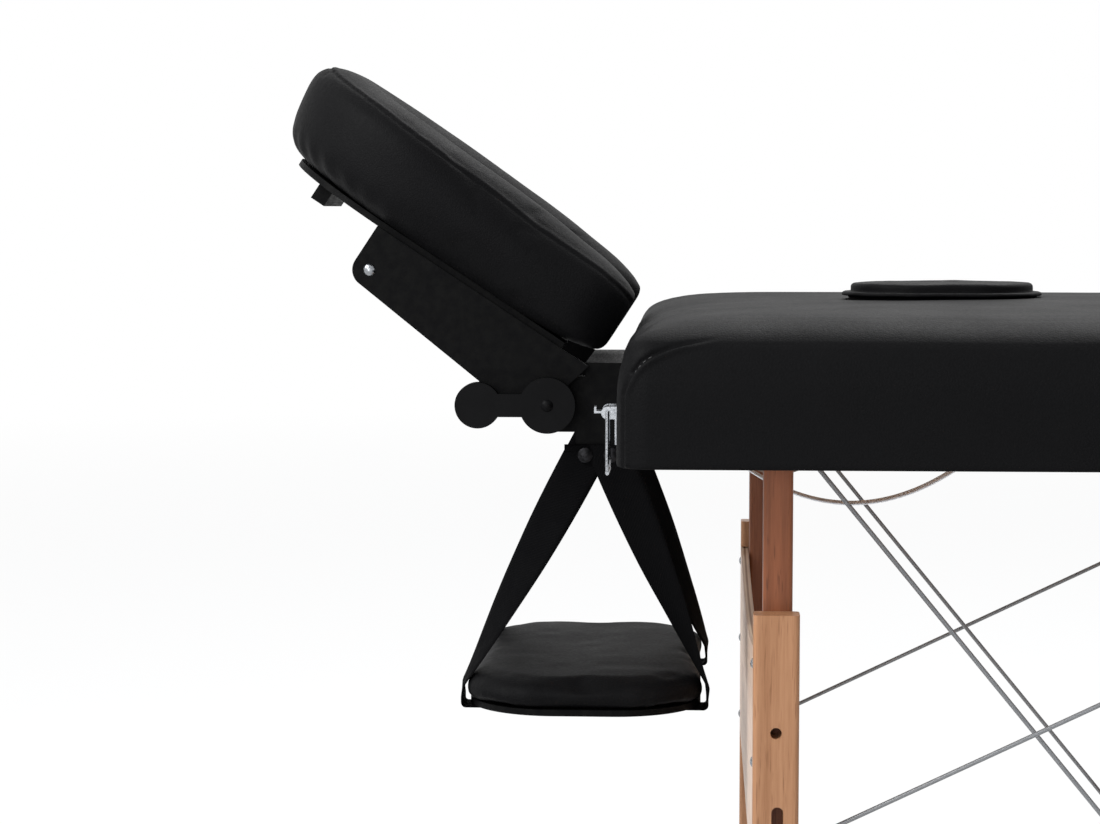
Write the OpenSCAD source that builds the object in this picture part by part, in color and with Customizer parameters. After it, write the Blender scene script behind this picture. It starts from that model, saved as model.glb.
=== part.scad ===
// Folding massage table with a tilting face rest and a hanging arm shelf, in millimetres.
// The table stands on z = 0. Its head end points along -X and the near long side along -Y.

/* [Leaf] */
// Length of one leaf, from its end to the middle hinge
leaf_l = 930; // [900:5:950]
// Width of the table over its cover
table_w = 680; // [672:1:700]
// Height of the flat of the top above the floor
top_h = 700; // [690:1:715]
// Thickness of the foam
foam_t = 45; // [42:1:50]
// Radius of the rounded top edge
edge_r = 38; // [30:1:40]
// Radius of the corners seen from above
corner_r = 24; // [20:1:30]
// Rise of the crown in the middle of a leaf
crown_h = 4; // [2:0.5:6]
// How far the padded sides draw in between the corners
draw_in = 2; // [1:0.5:3]
// Thickness of the plywood panel
panel_t = 5; // [4:0.5:6]
// Depth of the wooden rails
rail_h = 60; // [58:1:64]
// Thickness of the wooden rails
rail_t = 20; // [18:0.5:22]
// Thickness of the cover where it is wrapped over the rails
cover_t = 2; // [1.5:0.1:2.5]
// Width of a cross batten
batten_w = 32; // [28:1:34]
// Thickness of a cross batten
batten_t = 8; // [6:0.5:9]
// Gap between a leaf and the middle plane
leaf_gap = 1; // [0.8:0.1:1.5]

/* [Face hole] */
// Middle of the face hole from the head end
face_mid = 262; // [255:1:270]
// Length of the face hole
face_l = 156; // [145:1:165]
// Width of the face hole
face_w = 116; // [105:1:125]
// Rise of the plug above the top
plug_rise = 12; // [8:1:15]
// How far the lip of the plug overhangs the hole
plug_lip = 5; // [3:0.5:7]
// Gap round the plug
plug_gap = 0.5; // [0.4:0.1:0.8]

/* [Leg] */
// Head-side face of a leg frame from the end of its leaf
leg_at = 100; // [98:0.5:104]
// Depth of a lower post along the table
post_d = 34; // [33:0.5:36]
// Width of a lower post across the table
post_w = 22; // [20:0.5:23]
// Depth of an upper post along the table
stem_d = 22; // [20:0.5:24]
// Width of an upper post across the table
stem_w = 20; // [18:0.5:22]
// Radius of the eased edges of the posts
ease_r = 3.5; // [2:0.5:5]
// Middle of a lower post from the side of the table, before the leg frames are staggered
post_inset = 51; // [50:0.5:52]
// Sideways stagger of a leg frame, so that both frames fold past each other
leg_stagger = 15; // [14:0.5:15.5]
// Height of a leg or strut pivot above the lower edge of its leaf
pivot_up = 30; // [28:0.5:32]
// Top of a lower post below the leg pivot
post_top = 139; // [136:1:142]
// Upper end of the cross-board below the leg pivot
board_top = 163; // [160:1:166]
// Height of the cross-board
board_h = 175; // [165:1:178]
// Thickness of the cross-board
board_t = 7; // [6:0.5:8]
// Sag of the curved upper edge of the cross-board
board_sag = 20; // [12:1:28]
// Lower end of an upper post below the leg pivot
stem_end = 404; // [400:1:405]
// Upper clamp knob below the leg pivot
knob_at = 345; // [342:1:348]
// Spacing of the two clamp knobs
knob_pitch = 40; // [38:1:42]
// Radius of a clamp knob
knob_r = 11; // [9:0.5:11]
// Length of a clamp knob
knob_l = 16; // [12:0.5:20]
// Radius of a clamp bolt
clamp_r = 4; // [3.5:0.1:4.3]
// Radius of the spare height hole
spare_r = 4.2; // [3.5:0.1:5]
// Spare height hole below the top of a lower post
spare_down = 87; // [84:1:90]
// Travel that lengthens a leg
leg_out = 60; // [55:1:62]
// Travel that shortens a leg
leg_in = 90; // [85:1:92]
// Height of a rubber foot
foot_h = 14; // [12:1:18]
// Wall of a rubber foot
foot_wall = 2; // [1.5:0.1:2.4]

/* [Strut] */
// Strut pivot from the end of its leaf
strut_at = 480; // [478:1:484]
// Length of a strut, pivot to foot
strut_l = 400; // [394:1:402]
// Lean of a strut from upright, towards the end of the leaf, in degrees
strut_lean = 5; // [4:0.5:6]
// Width of a strut slat along the table
slat_d = 22; // [20:0.5:22]
// Thickness of a strut slat
slat_w = 16; // [14:0.5:18]
// Middle of a strut slat from the side of the table, before it is staggered
slat_inset = 125; // [123:0.5:127]
// Sideways stagger of the struts
strut_stagger = 12; // [11:0.5:12.5]
// Crossbar of the struts below their pivot
strut_bar_at = 150; // [140:1:160]
// Diameter of a steel cable
cable_d = 3.6; // [3:0.1:4.2]
// Place of the outer cable anchor from the end of the leaf
anchor_end = 95; // [91:1:98]
// Place of the inner cable anchor from the middle hinge
mid_inset = 130; // [110:5:150]
// Place of the leg cable anchor from the middle hinge
leg_inset = 80; // [60:5:90]

/* [Fittings] */
// Radius of a pivot bolt
bolt_r = 4; // [3.5:0.1:4.5]
// Radius of a domed bolt head
dome_r = 8; // [7:0.5:9]
// Height of a domed bolt head
dome_h = 3.5; // [3:0.1:4]
// Thickness of a plywood hanger
hanger_t = 12; // [10:0.5:13]
// Half length of a plywood hanger along the table
hanger_r = 33; // [30:0.5:33.5]
// How far a leg hanger hangs below the leaf
hanger_drop = 10; // [8:0.5:10.5]
// Running clearance of a pivot
run_gap = 0.06; // [0.04:0.01:0.09]
// Clearance between faces that slide or swing past each other
slide_gap = 0.3; // [0.25:0.05:0.5]
// Clearance of a strap's eyelet round its hanging screw, which the swing of the shelf takes up
eyelet_gap = 0.95; // [0.92:0.01:0.97]
// Drop of the middle hinge axis below the leaves
hinge_drop = 6; // [5.8:0.1:6.5]
// Thickness of a hinge plate
hinge_t = 3; // [2.5:0.1:3.2]
// Length of a hinge plate along the table
hinge_l = 46; // [40:1:52]
// Width of one hinge
hinge_w = 60; // [50:1:70]
// Middle of a hinge from the side of the table
hinge_inset = 60; // [57:1:66]
// Radius of a hinge knuckle
knuckle_r = 5.5; // [5:0.1:5.6]
// Radius of a hinge pin
pin_r = 3; // [2.5:0.1:3.5]
// Distance that a carry handle stands out
handle_out = 24; // [20:1:28]
// Length of a carry handle
handle_l = 190; // [170:5:210]
// Thickness of a carry handle grip
handle_t = 9; // [8:0.5:10]
// Height of a carry handle grip
handle_h = 26; // [22:1:28]
// Width of the webbing tie under the head leaf
tie_w = 20; // [16:1:24]
// Sag of the webbing tie
tie_sag = 99; // [90:1:104]

/* [Face rest] */
// Distance of the tilt axis out from the head end
tilt_out = 62; // [60:0.5:64]
// Depth of the tilt axis below the top
tilt_down = 81; // [79:0.5:83]
// Tilt of the face rest at its highest stop, in degrees
tilt_rest = 33.5; // [32:0.5:35]
// Overhang of the pad past the head end of the platform
pad_over = 27; // [22:1:32]
// Height of the platform's upper face above the tilt axis
plate_up = 49; // [48:0.5:51]
// Thickness of the platform
plate_t = 5; // [4:0.5:6]
// Width of the batten under the platform
stop_t = 13; // [11:0.5:15]
// Height of the batten under the platform
stop_h = 15; // [13:0.5:17]
// Overhang of the pad past each side of the platform
side_over = 34; // [31:1:37]
// Length of the pad from its horns to its head end
pad_l = 330; // [322:1:338]
// Width of the pad over both arms
pad_w = 280; // [272:1:288]
// Width of the padded tube that forms the crescent
pad_tube = 92; // [88:1:96]
// Thickness of the pad at its horns
pad_t = 73; // [69:1:76]
// Thickness of the pad at its head end
pad_tip_t = 88; // [84:1:91]
// How far the horns reach back past the tilt axis
horn_back = 15; // [12:1:16]
// Thickness of a cradle bracket
bracket_t = 8; // [7:0.5:9]
// Front bolt of a bracket along the platform
front_at = 180; // [176:1:184]
// Front bolt of a bracket above the tilt axis
front_up = 11; // [9:0.5:13]
// Radius of a bracket's rounded front corner
front_r = 14; // [12:0.5:15]
// Depth of a bracket's lower edge below the tilt axis
heel_down = 17; // [15:0.5:18]
// Place of the lowest point of a bracket along the platform
heel_at = 35; // [31:1:39]
// Reach of a bracket's rear corner behind the tilt axis
tail_back = 10; // [8:0.5:11]
// Radius of a bracket's ear round the tilt axle
ear_r = 12; // [10:0.5:12.5]
// Batten under the platform, from its head end
batten_inset = 36; // [30:1:42]
// Rear edge of the platform along it
plate_from = 16; // [15:0.5:18]
// Inner face of a base cheek from the centre line
cheek_lane = 88; // [86:0.5:90]
// Thickness of a base cheek
cheek_t = 13; // [12:0.5:14]
// Radius of the tilt axle
axle_r = 5; // [4:0.1:6]
// Radius of a plug-in rod
rod_r = 8; // [7:0.1:9]
// Clearance of a rod in its socket
rod_gap = 0.1; // [0.06:0.01:0.14]
// Distance of a rod from the centre line
rod_lane = 60; // [54:0.5:64]
// Reach of a rod into the leaf
rod_in = 88; // [80:1:90]
// Length of a socket block
socket_l = 70; // [66:1:74]
// Width and height of a socket block
socket_w = 40; // [36:1:44]
// Radius of the grip disc of a clamp lever
grip_r = 18.5; // [17:0.5:20]
// Radius of the boss of a clamp lever
boss_r = 22.5; // [21:0.5:24]
// Distance from boss to grip disc
lever_l = 56; // [52:1:60]
// Thickness of a clamp lever
lever_t = 11; // [9:0.5:13]

/* [Arm shelf] */
// Size of the shelf along the table
shelf_l = 196; // [190:1:202]
// Size of the shelf across the table
shelf_w = 330; // [320:1:340]
// Depth of the shelf's top below the top of the table
shelf_down = 300; // [292:1:308]
// Thickness of the shelf's pad
shelf_t = 20; // [18:0.5:24]
// Thickness of the shelf's board
shelf_board_t = 5; // [4:0.5:6]
// Radius of the shelf's corners
shelf_r = 70; // [60:1:76]
// Distance of the front hanging screws out from the head end
hang_out = 32; // [31:0.5:32.5]
// Distance of the rear hanging screws out from the head end
rear_out = 11; // [10.5:0.1:11.5]
// Depth of the hanging screws below the tilt axis, which keeps the straps under the leaf
hang_down = 41; // [40:0.5:43]
// Radius of a cheek round a hanging screw
hang_r = 8; // [7:0.5:9]
// Width of a shelf strap
strap_w = 34; // [32:0.5:35]
// Thickness of a shelf strap
strap_t = 2; // [1.6:0.1:2.4]
// Middle of a strap from the side of the shelf
strap_inset = 63; // [59:1:67]

/* [Latch] */
// Middle of a latch from the side of the table
latch_inset = 48; // [42:1:55]
// Width of a latch plate
latch_w = 30; // [26:1:34]
// Height of a latch plate
latch_h = 28; // [24:1:30]
// Thickness of a latch plate
latch_t = 1.6; // [1.2:0.1:2]
// Barrel axis below the top of the table
barrel_down = 72; // [70:0.5:74]
// Radius of a latch barrel
barrel_r = 4.6; // [4:0.1:4.8]
// Distance of the barrel axis out from the plate
barrel_out = 5.4; // [5.2:0.1:6]
// Radius of the bail wire
bail_r = 1.4; // [1.2:0.1:1.6]
// Length of a bail
bail_l = 44; // [40:1:47]

/* [Hidden] */
$fn = 48;
over = 1;

// Heights that the sizes above give
panel_z = top_h - foam_t;
frame_z = panel_z - panel_t;
under_z = frame_z - rail_h;
pivot_z = under_z + pivot_up;
hinge_z = under_z - hinge_drop;
tilt_z = top_h - tilt_down;
shelf_z = top_h - shelf_down;
hang_z = tilt_z - hang_down;
cable_z = frame_z - cable_d / 2;
leaf_solid = leaf_l - leaf_gap;
anchor_mid = leaf_l - mid_inset;
anchor_leg = leaf_l - leg_inset;
post_lane = table_w / 2 - post_inset;
slat_lane = table_w / 2 - slat_inset;
hinge_lane = table_w / 2 - hinge_inset;
latch_lane = table_w / 2 - latch_inset;

// Leg frame, measured from the end of its leaf
stem_at = leg_at + board_t + slide_gap;
pivot_at = stem_at + stem_d / 2;
stem_step = post_w / 2 + slide_gap + stem_w / 2;
hanger_step = stem_step + stem_w / 2 + slide_gap + hanger_t / 2;

// Platform and battens of the face rest
plate_l = pad_l - horn_back - pad_over;
plate_w = pad_w - 2 * side_over;
rest_batten_at = plate_l - batten_inset;
strap_lane = shelf_w / 2 - strap_inset;

// Lanes of the face rest
bracket_lane = cheek_lane + cheek_t + slide_gap + bracket_t / 2;
lever_lane = bracket_lane + bracket_t / 2 + slide_gap;

// Rings of the crescent pad, in the frame of the tilted cradle
tube_turns = 20;
tube_sides = 18;
horn_steps = 5;
arm_steps = 5;
arm_lane = pad_w / 2 - pad_tube / 2;
pad_low = plate_up + slide_gap;
arm_start = -horn_back + pad_tube / 2;
arm_end = pad_l - horn_back - pad_w / 2;
round_share = 0.62;

// Small sizes and shares
clip_l = 34;
clip_w = 12;
lip_l = 10;
bow_share = 0.5;
strap_end_share = 0.45;
shelf_round_share = 0.75;
twist_shares = [0.27, 0.94];

function lerp(a, b, share) = a + (b - a) * share;
function squircle(angle, power_share) = let(c = cos(angle), s = sin(angle))
    [sign(c) * pow(abs(c), power_share), sign(s) * pow(abs(s), power_share)];

// One ring of the pad: middle of the tube, sideways direction, width share and reach along the pad
function pad_ring(mid, side, width_share) = let(
    reach_share = (mid[0] + horn_back) / pad_l,
    tall = lerp(pad_t, pad_tip_t, reach_share),
    half = pad_tube / 2 * width_share,
    lift = tall / 2 * lerp(round_share, 1, width_share))
    [for (i = [0:tube_sides - 1]) let(p = squircle(i * 360 / tube_sides, round_share))
        [-(mid[0] + side[0] * half * p[0]), mid[1] + side[1] * half * p[0],
            pad_low + tall / 2 + lift * p[1]]];

// Horn, arm, half turn, arm and horn, in the order of the path
pad_rings = concat(
    [for (i = [1:horn_steps]) let(a = 90 * i / horn_steps)
        pad_ring([arm_start - pad_tube / 2 * cos(a), -arm_lane], [0, -1], sin(a))],
    [for (i = [1:arm_steps]) pad_ring([lerp(arm_start, arm_end, i / arm_steps), -arm_lane], [0, -1], 1)],
    [for (i = [1:tube_turns - 1]) let(a = 180 * i / tube_turns)
        pad_ring([arm_end + arm_lane * sin(a), -arm_lane * cos(a)], [sin(a), -cos(a)], 1)],
    [for (i = [0:arm_steps - 1]) pad_ring([lerp(arm_end, arm_start, i / arm_steps), arm_lane], [0, 1], 1)],
    [for (i = [0:horn_steps - 1]) let(a = 90 - 90 * i / horn_steps)
        pad_ring([arm_start - pad_tube / 2 * cos(a), arm_lane], [0, 1], sin(a))]);

// Reach of the tilted pad past the head end, which centres the whole table on x = 0
rest_reach = tilt_out
    - min([for (ring = pad_rings) for (p = ring) p[0] * cos(tilt_rest) + p[2] * sin(tilt_rest)]);
catch_out = barrel_out + bail_r;
mid_x = (rest_reach - catch_out) / 2;
mid_y = -handle_out / 2;

// Solid through rings of points, each closed by a point in its middle
module ring_solid(rings) {
    n = len(rings[0]);
    m = len(rings);
    low = m * n;
    middles = [for (ring = [rings[0], rings[m - 1]]) [for (axis = [0:2]) average(ring, axis)]];
    faces = concat(
        [for (k = [0:m - 2]) for (i = [0:n - 1]) [k * n + i, k * n + n + i, k * n + n + (i + 1) % n]],
        [for (k = [0:m - 2]) for (i = [0:n - 1]) [k * n + i, k * n + n + (i + 1) % n, k * n + (i + 1) % n]],
        [for (i = [0:n - 1]) [low, i, (i + 1) % n]],
        [for (i = [0:n - 1]) [low + 1, low - n + (i + 1) % n, low - n + i]]);
    polyhedron(points = concat([for (ring = rings) each ring], middles), faces = faces);
}

function average(ring, axis) = total([for (p = ring) p[axis]], 0) / len(ring);
function total(list, i) = i == len(list) ? 0 : list[i] + total(list, i + 1);

// Rounded rectangle as points, with straight sides that draw in between the corners
corner_steps = 5;
side_steps = 6;
function rounded_points(length, width, r, draw, z) = [
    for (c = [0:3]) let(
        sx = c == 0 || c == 3 ? 1 : -1,
        sy = c < 2 ? 1 : -1,
        nx = c == 0 ? -1 : c == 1 ? -1 : 1,
        ny = c == 0 || c == 3 ? 1 : -1,
        from = [sx * (length / 2 - r) + r * cos(90 * c + 90), sy * (width / 2 - r) + r * sin(90 * c + 90)],
        to = [nx * (length / 2 - r) + r * cos(90 * c + 90), ny * (width / 2 - r) + r * sin(90 * c + 90)],
        inward = [-cos(90 * c + 90), -sin(90 * c + 90)])
        each concat(
            [for (i = [0:corner_steps]) [
                sx * (length / 2 - r) + r * cos(90 * c + 90 * i / corner_steps),
                sy * (width / 2 - r) + r * sin(90 * c + 90 * i / corner_steps), z]],
            [for (i = [1:side_steps - 1]) let(
                share = i / side_steps,
                pull = draw * sin(180 * share))
                [lerp(from[0], to[0], share) + inward[0] * pull,
                    lerp(from[1], to[1], share) + inward[1] * pull, z]])];

// Padded block: straight foot, rounded upper edge and a crown, standing on z = 0
round_steps = 6;
crown_shares = [0.35, 0.75];
module padded_block(length, width, r, tall, edge, rise, draw) {
    inner = [length - 2 * edge, width - 2 * edge];
    ring_solid(concat(
        [rounded_points(length, width, r, 0, 0)],
        [for (i = [0:round_steps]) let(
            a = 90 * i / round_steps,
            inset = edge * (1 - cos(a)))
            rounded_points(length - 2 * inset, width - 2 * inset, max(r - inset * round_share, r / 4),
                draw, tall - edge + edge * sin(a))],
        [for (share = crown_shares)
            rounded_points(inner[0] * (1 - share), inner[1] * (1 - share), r / 4, 0,
                tall + rise * sin(90 * share))]));
}

// Round bar between two points
module bar_between(a, b, r) {
    d = b - a;
    translate(a)
        rotate([0, atan2(norm([d[0], d[1]]), d[2]), atan2(d[1], d[0])])
            cylinder(h = norm(d), r = r);
}

// Cylinder along Y, centred
module across(h, r) {
    rotate([90, 0, 0]) cylinder(h = h, r = r, center = true);
}

// Flat shape in the X-Z plane given a thickness along Y
module upright(t) {
    rotate([90, 0, 0]) linear_extrude(height = t, center = true) children();
}

module rounded_rect(length, width, r) {
    square([length - 2 * r, width], center = true);
    square([length, width - 2 * r], center = true);
    for (sx = [-1, 1]) {
        for (sy = [-1, 1]) {
            translate([sx * (length / 2 - r), sy * (width / 2 - r)]) circle(r = r);
        }
    }
}

// Domed head standing on z = 0
module dome(r, h) {
    ball = (r * r + h * h) / (2 * h);
    intersection() {
        translate([0, 0, h - ball]) sphere(r = ball);
        cylinder(h = h + over, r = r);
    }
}

// The frame of one leaf: x runs from the end of the leaf to the middle, end is 1 at the head
module leaf_frame(end) {
    translate([mid_x - end * leaf_l, mid_y, 0]) mirror([end > 0 ? 0 : 1, 0, 0]) children();
}

// Both sides of the table, each with its lane
module each_side() {
    children();
    mirror([0, 1, 0]) children();
}

function post_y(side, end) = side * post_lane - end * leg_stagger;
function slat_y(side, end) = side * slat_lane - end * strut_stagger;

module leaf_outline(inset) {
    translate([leaf_solid / 2, 0])
        rounded_rect(leaf_solid - 2 * inset, table_w - 2 * inset, corner_r - inset);
}

module face_outline(grow) {
    r = face_w / 2 + grow;
    half = (face_l - face_w) / 2;
    translate([face_mid, 0]) {
        square([2 * half, 2 * r], center = true);
        for (s = [-1, 1]) {
            translate([s * half, 0]) circle(r = r);
        }
    }
}

module face_cut() {
    translate([0, 0, frame_z - batten_t - over])
        linear_extrude(height = foam_t + panel_t + batten_t + 2 * crown_h + 2 * over) face_outline(0);
}

module cushion(end) {
    color("#26262a") leaf_frame(end) translate([leaf_solid / 2, 0, panel_z])
        padded_block(leaf_solid, table_w, corner_r, foam_t, edge_r, crown_h, draw_in);
}

module head_cushion() {
    color("#26262a") difference() {
        cushion(1);
        leaf_frame(1) face_cut();
    }
}

// The cover wrapped down over the rails, open below
module cover(end) {
    color("#1d1d20") leaf_frame(end) difference() {
        translate([0, 0, under_z]) linear_extrude(height = rail_h + panel_t) difference() {
            leaf_outline(0);
            leaf_outline(cover_t);
        }
        for (side = [-1, 1]) {
            translate([-over, side * rod_lane, pivot_z])
                rotate([0, 90, 0]) cylinder(h = rail_t, r = rod_r + over);
        }
    }
}

// Two side rails, and between them two end rails and three battens, each a board of its own
module rails(end) {
    wall = cover_t + rail_t;
    between = table_w - 2 * wall - 2 * slide_gap;
    color("#c79a6b") leaf_frame(end) {
        translate([0, 0, under_z]) linear_extrude(height = rail_h) difference() {
            leaf_outline(cover_t);
            translate([0, -table_w / 2 + wall]) square([leaf_l, table_w - 2 * wall]);
        }
        for (at = [cover_t, leaf_solid - wall]) {
            difference() {
                translate([at, -between / 2, under_z]) cube([rail_t, between, rail_h]);
                for (side = [-1, 1]) {
                    translate([-over, side * rod_lane, pivot_z])
                        rotate([0, 90, 0]) cylinder(h = wall + 2 * over, r = rod_r + rod_gap);
                }
            }
        }
        for (at = [face_mid - face_l / 2 - batten_w, face_mid + face_l / 2, strut_at - batten_w / 2]) {
            translate([at, -between / 2, frame_z - batten_t]) cube([batten_w, between, batten_t]);
        }
    }
}

module panel(end) {
    color("#b98d5e") leaf_frame(end) difference() {
        translate([0, 0, frame_z]) linear_extrude(height = panel_t) leaf_outline(cover_t);
        if (end > 0) face_cut();
    }
}

// Rounded plywood hangers that carry the leg and strut pivots
module hangers(end) {
    color("#8d6b4a") leaf_frame(end) {
        for (side = [-1, 1]) {
            translate([pivot_at, post_y(side, end) - side * hanger_step, 0]) difference() {
                intersection() {
                    upright(hanger_t) {
                        translate([0, pivot_z]) circle(r = pivot_up + hanger_drop);
                        translate([-hanger_r, pivot_z]) square([2 * hanger_r, frame_z - pivot_z]);
                    }
                    translate([0, 0, frame_z - rail_h])
                        cube([2 * hanger_r, hanger_t + over, 2 * rail_h], center = true);
                }
                translate([0, 0, pivot_z]) across(hanger_t + over, bolt_r);
            }
            translate([strut_at, slat_y(side, end) - side * (slat_w / 2 + slide_gap + hanger_t / 2), 0])
                difference() {
                    upright(hanger_t) {
                        translate([0, pivot_z]) circle(r = slat_d / 2);
                        translate([-slat_d / 2, pivot_z])
                            square([slat_d, frame_z - batten_t - pivot_z]);
                    }
                    translate([0, 0, pivot_z]) across(hanger_t + over, bolt_r);
                }
        }
    }
}

module sockets(end) {
    color("#c79a6b") leaf_frame(end) {
        for (side = [-1, 1]) {
            translate([cover_t + rail_t, side * rod_lane, pivot_z]) difference() {
                translate([0, -socket_w / 2, -socket_w / 2])
                    cube([socket_l, socket_w, frame_z - pivot_z + socket_w / 2]);
                translate([-over, 0, 0])
                    rotate([0, 90, 0]) cylinder(h = socket_l + 2 * over, r = rod_r + rod_gap);
            }
        }
    }
}

// Bolts of the leg and strut pivots, each with a domed head on the outer side
module pivot_bolts(end) {
    color("#b9bcc0") leaf_frame(end) {
        for (side = [-1, 1]) {
            pivot_bolt(pivot_at, post_y(side, end) - side * stem_step, side, stem_w);
            pivot_bolt(strut_at, slat_y(side, end), side, slat_w);
        }
    }
}

module pivot_bolt(at, lane, side, thick) {
    translate([at, lane, pivot_z]) mirror([0, side > 0 ? 0 : 1, 0]) {
        rotate([90, 0, 0]) translate([0, 0, -thick / 2 - slide_gap])
            cylinder(h = thick + 2 * slide_gap + hanger_t, r = bolt_r);
        translate([0, thick / 2 + slide_gap, 0]) rotate([-90, 0, 0]) dome(dome_r, dome_h);
    }
}

// Padded strap handle on the far long side
module handle(end) {
    steps = 14;
    sides = 10;
    rings = [for (i = [0:steps]) let(
        a = 180 * i / steps,
        bow = pow(sin(a), bow_share),
        along = 90 * cos(a))
        [for (k = [0:sides - 1]) let(q = squircle(-360 * k / sides, round_share))
            [handle_l / 2 * cos(a) + sin(along) * handle_t / 2 * q[0],
                (handle_out - handle_t / 2) * bow + cos(along) * handle_t / 2 * q[0],
                handle_h / 2 * lerp(strap_end_share, 1, bow) * q[1]]]];
    mid_z = under_z + rail_h / 2;
    color("#1d1d20") leaf_frame(end) translate([leaf_l / 2, table_w / 2, mid_z]) {
        intersection() {
            ring_solid(rings);
            translate([-handle_l, 0, -handle_h]) cube([2 * handle_l, 2 * handle_out, 2 * handle_h]);
        }
    }
}

// Hinge plates under the leaves: the head leaf carries the outer knuckles and the pin
module hinges(end) {
    color("#a9adb2") leaf_frame(end) {
        for (side = [-1, 1]) {
            translate([0, side * hinge_lane, 0]) hinge_leaf(end);
        }
    }
}

module hinge_leaf(end) {
    third = hinge_w / 3;
    lanes = end > 0 ? [-third, third] : [0];
    reach = knuckle_r + leaf_gap;
    difference() {
        union() {
            translate([leaf_l - reach - hinge_l, -hinge_w / 2, under_z - hinge_t])
                cube([hinge_l, hinge_w, hinge_t]);
            for (lane = lanes) {
                translate([leaf_l - reach - over, lane - third / 2 + slide_gap, under_z - hinge_t])
                    cube([reach + over, third - 2 * slide_gap, hinge_t]);
                translate([leaf_l, lane, hinge_z]) across(third - 2 * slide_gap, knuckle_r);
            }
        }
        translate([leaf_l, 0, hinge_z]) across(hinge_w + over, pin_r + (end > 0 ? 0 : run_gap));
    }
    if (end > 0) translate([leaf_l, 0, hinge_z]) across(hinge_w, pin_r);
}

// Latch plates on the head end, with two ears round each barrel
module latch_plates() {
    ear_t = latch_t;
    color("#c6c9cd") leaf_frame(1) each_side() {
        translate([-latch_t, latch_lane - latch_w / 2, top_h - barrel_down - latch_h + barrel_r])
            cube([latch_t, latch_w, latch_h]);
        for (s = [-1, 1]) {
            translate([-latch_t, latch_lane + s * (latch_w / 2 - ear_t / 2), top_h - barrel_down])
                difference() {
                    upright(ear_t) {
                        translate([-barrel_out, 0]) circle(r = barrel_r);
                        translate([-barrel_out, -barrel_r]) square([barrel_out, 2 * barrel_r]);
                    }
                    translate([-barrel_out, 0, 0]) across(latch_t + over, bail_r + run_gap);
                }
        }
    }
}

// Catch hooks on the foot end
module catch_plates() {
    color("#c6c9cd") leaf_frame(-1) each_side() {
        translate([-latch_t, latch_lane - latch_w / 2, top_h - barrel_down - latch_h + barrel_r])
            cube([latch_t, latch_w, latch_h]);
        translate([-catch_out, latch_lane - latch_w / 4, top_h - barrel_down - latch_h / 2])
            cube([catch_out - latch_t, latch_w / 2, latch_t]);
        translate([-catch_out, latch_lane - latch_w / 4, top_h - barrel_down - latch_h / 2])
            cube([latch_t, latch_w / 2, 3 * latch_t]);
    }
}

// Ribbon through a list of [middle, width direction, normal]
module ribbon(stations, width, thick) {
    ring_solid([for (s = stations) [
        for (c = [[1, 1], [-1, 1], [-1, -1], [1, -1]])
            s[0] + s[1] * width / 2 * c[0] + s[2] * thick / 2 * c[1]]]);
}

module webbing_tie() {
    tie_from = cover_t + rail_t + strap_t;
    tie_to = face_mid + face_l / 2 - 5 * strap_t;
    steps = 16;
    y = -slat_lane + strut_stagger + slat_w;
    z = frame_z - strap_t / 2 - slide_gap;
    color("#b5b1af") leaf_frame(1) ribbon([for (i = [0:steps]) let(
        share = i / steps,
        slope = 4 * tie_sag * (2 * share - 1) / (tie_to - tie_from))
        [[lerp(tie_from, tie_to, share), y, z - 4 * tie_sag * share * (1 - share)],
            [0, 1, 0], [slope, 0, -1] / norm([slope, 0, -1])]], tie_w, strap_t);
}

// Lifting plug of the face hole, with a raised padded top and a lip
module face_plug() {
    color("#26262a") leaf_frame(1) {
        translate([0, 0, frame_z]) linear_extrude(height = panel_t + foam_t + crown_h)
            face_outline(-plug_gap);
        translate([face_mid, 0, top_h + crown_h + plug_gap / 2])
            padded_block(face_l + 2 * plug_lip, face_w + 2 * plug_lip, face_w / 2,
                plug_rise - crown_h, plug_rise - crown_h - over, over, 0);
    }
}

// Upper posts, which swing on the hangers
module stems(end) {
    color("#8a5a3a") leaf_frame(end) {
        for (side = [-1, 1]) {
            translate([pivot_at, post_y(side, end) - side * stem_step, pivot_z]) difference() {
                union() {
                    across(stem_w, stem_d / 2);
                    translate([0, 0, -stem_end]) linear_extrude(height = stem_end)
                        rounded_rect(stem_d, stem_w, ease_r);
                }
                across(stem_w + over, bolt_r + run_gap);
                for (at = [knob_at, knob_at + knob_pitch]) {
                    translate([0, 0, -at]) across(stem_w + over, clamp_r);
                }
            }
        }
    }
}

// Clamp bolts with star knobs on the inner side
module knobs(end) {
    lobes = 5;
    lobe_r = knob_r / 3;
    color("#1f1f22") leaf_frame(end) {
        for (side = [-1, 1]) {
            for (at = [knob_at, knob_at + knob_pitch]) {
                translate([pivot_at, post_y(side, end) - side * stem_step, pivot_z - at])
                    mirror([0, side > 0 ? 0 : 1, 0]) {
                        rotate([90, 0, 0]) translate([0, 0, -stem_w / 2 - post_w - slide_gap])
                            cylinder(h = stem_w + post_w + slide_gap, r = clamp_r);
                        translate([0, -stem_w / 2, 0]) rotate([90, 0, 0]) {
                            linear_extrude(height = knob_l) {
                                circle(r = 2 * lobe_r);
                                for (i = [0:lobes - 1]) {
                                    rotate([0, 0, 360 * i / lobes])
                                        translate([knob_r - lobe_r, 0]) circle(r = lobe_r);
                                }
                            }
                        }
                    }
            }
        }
    }
}

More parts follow.
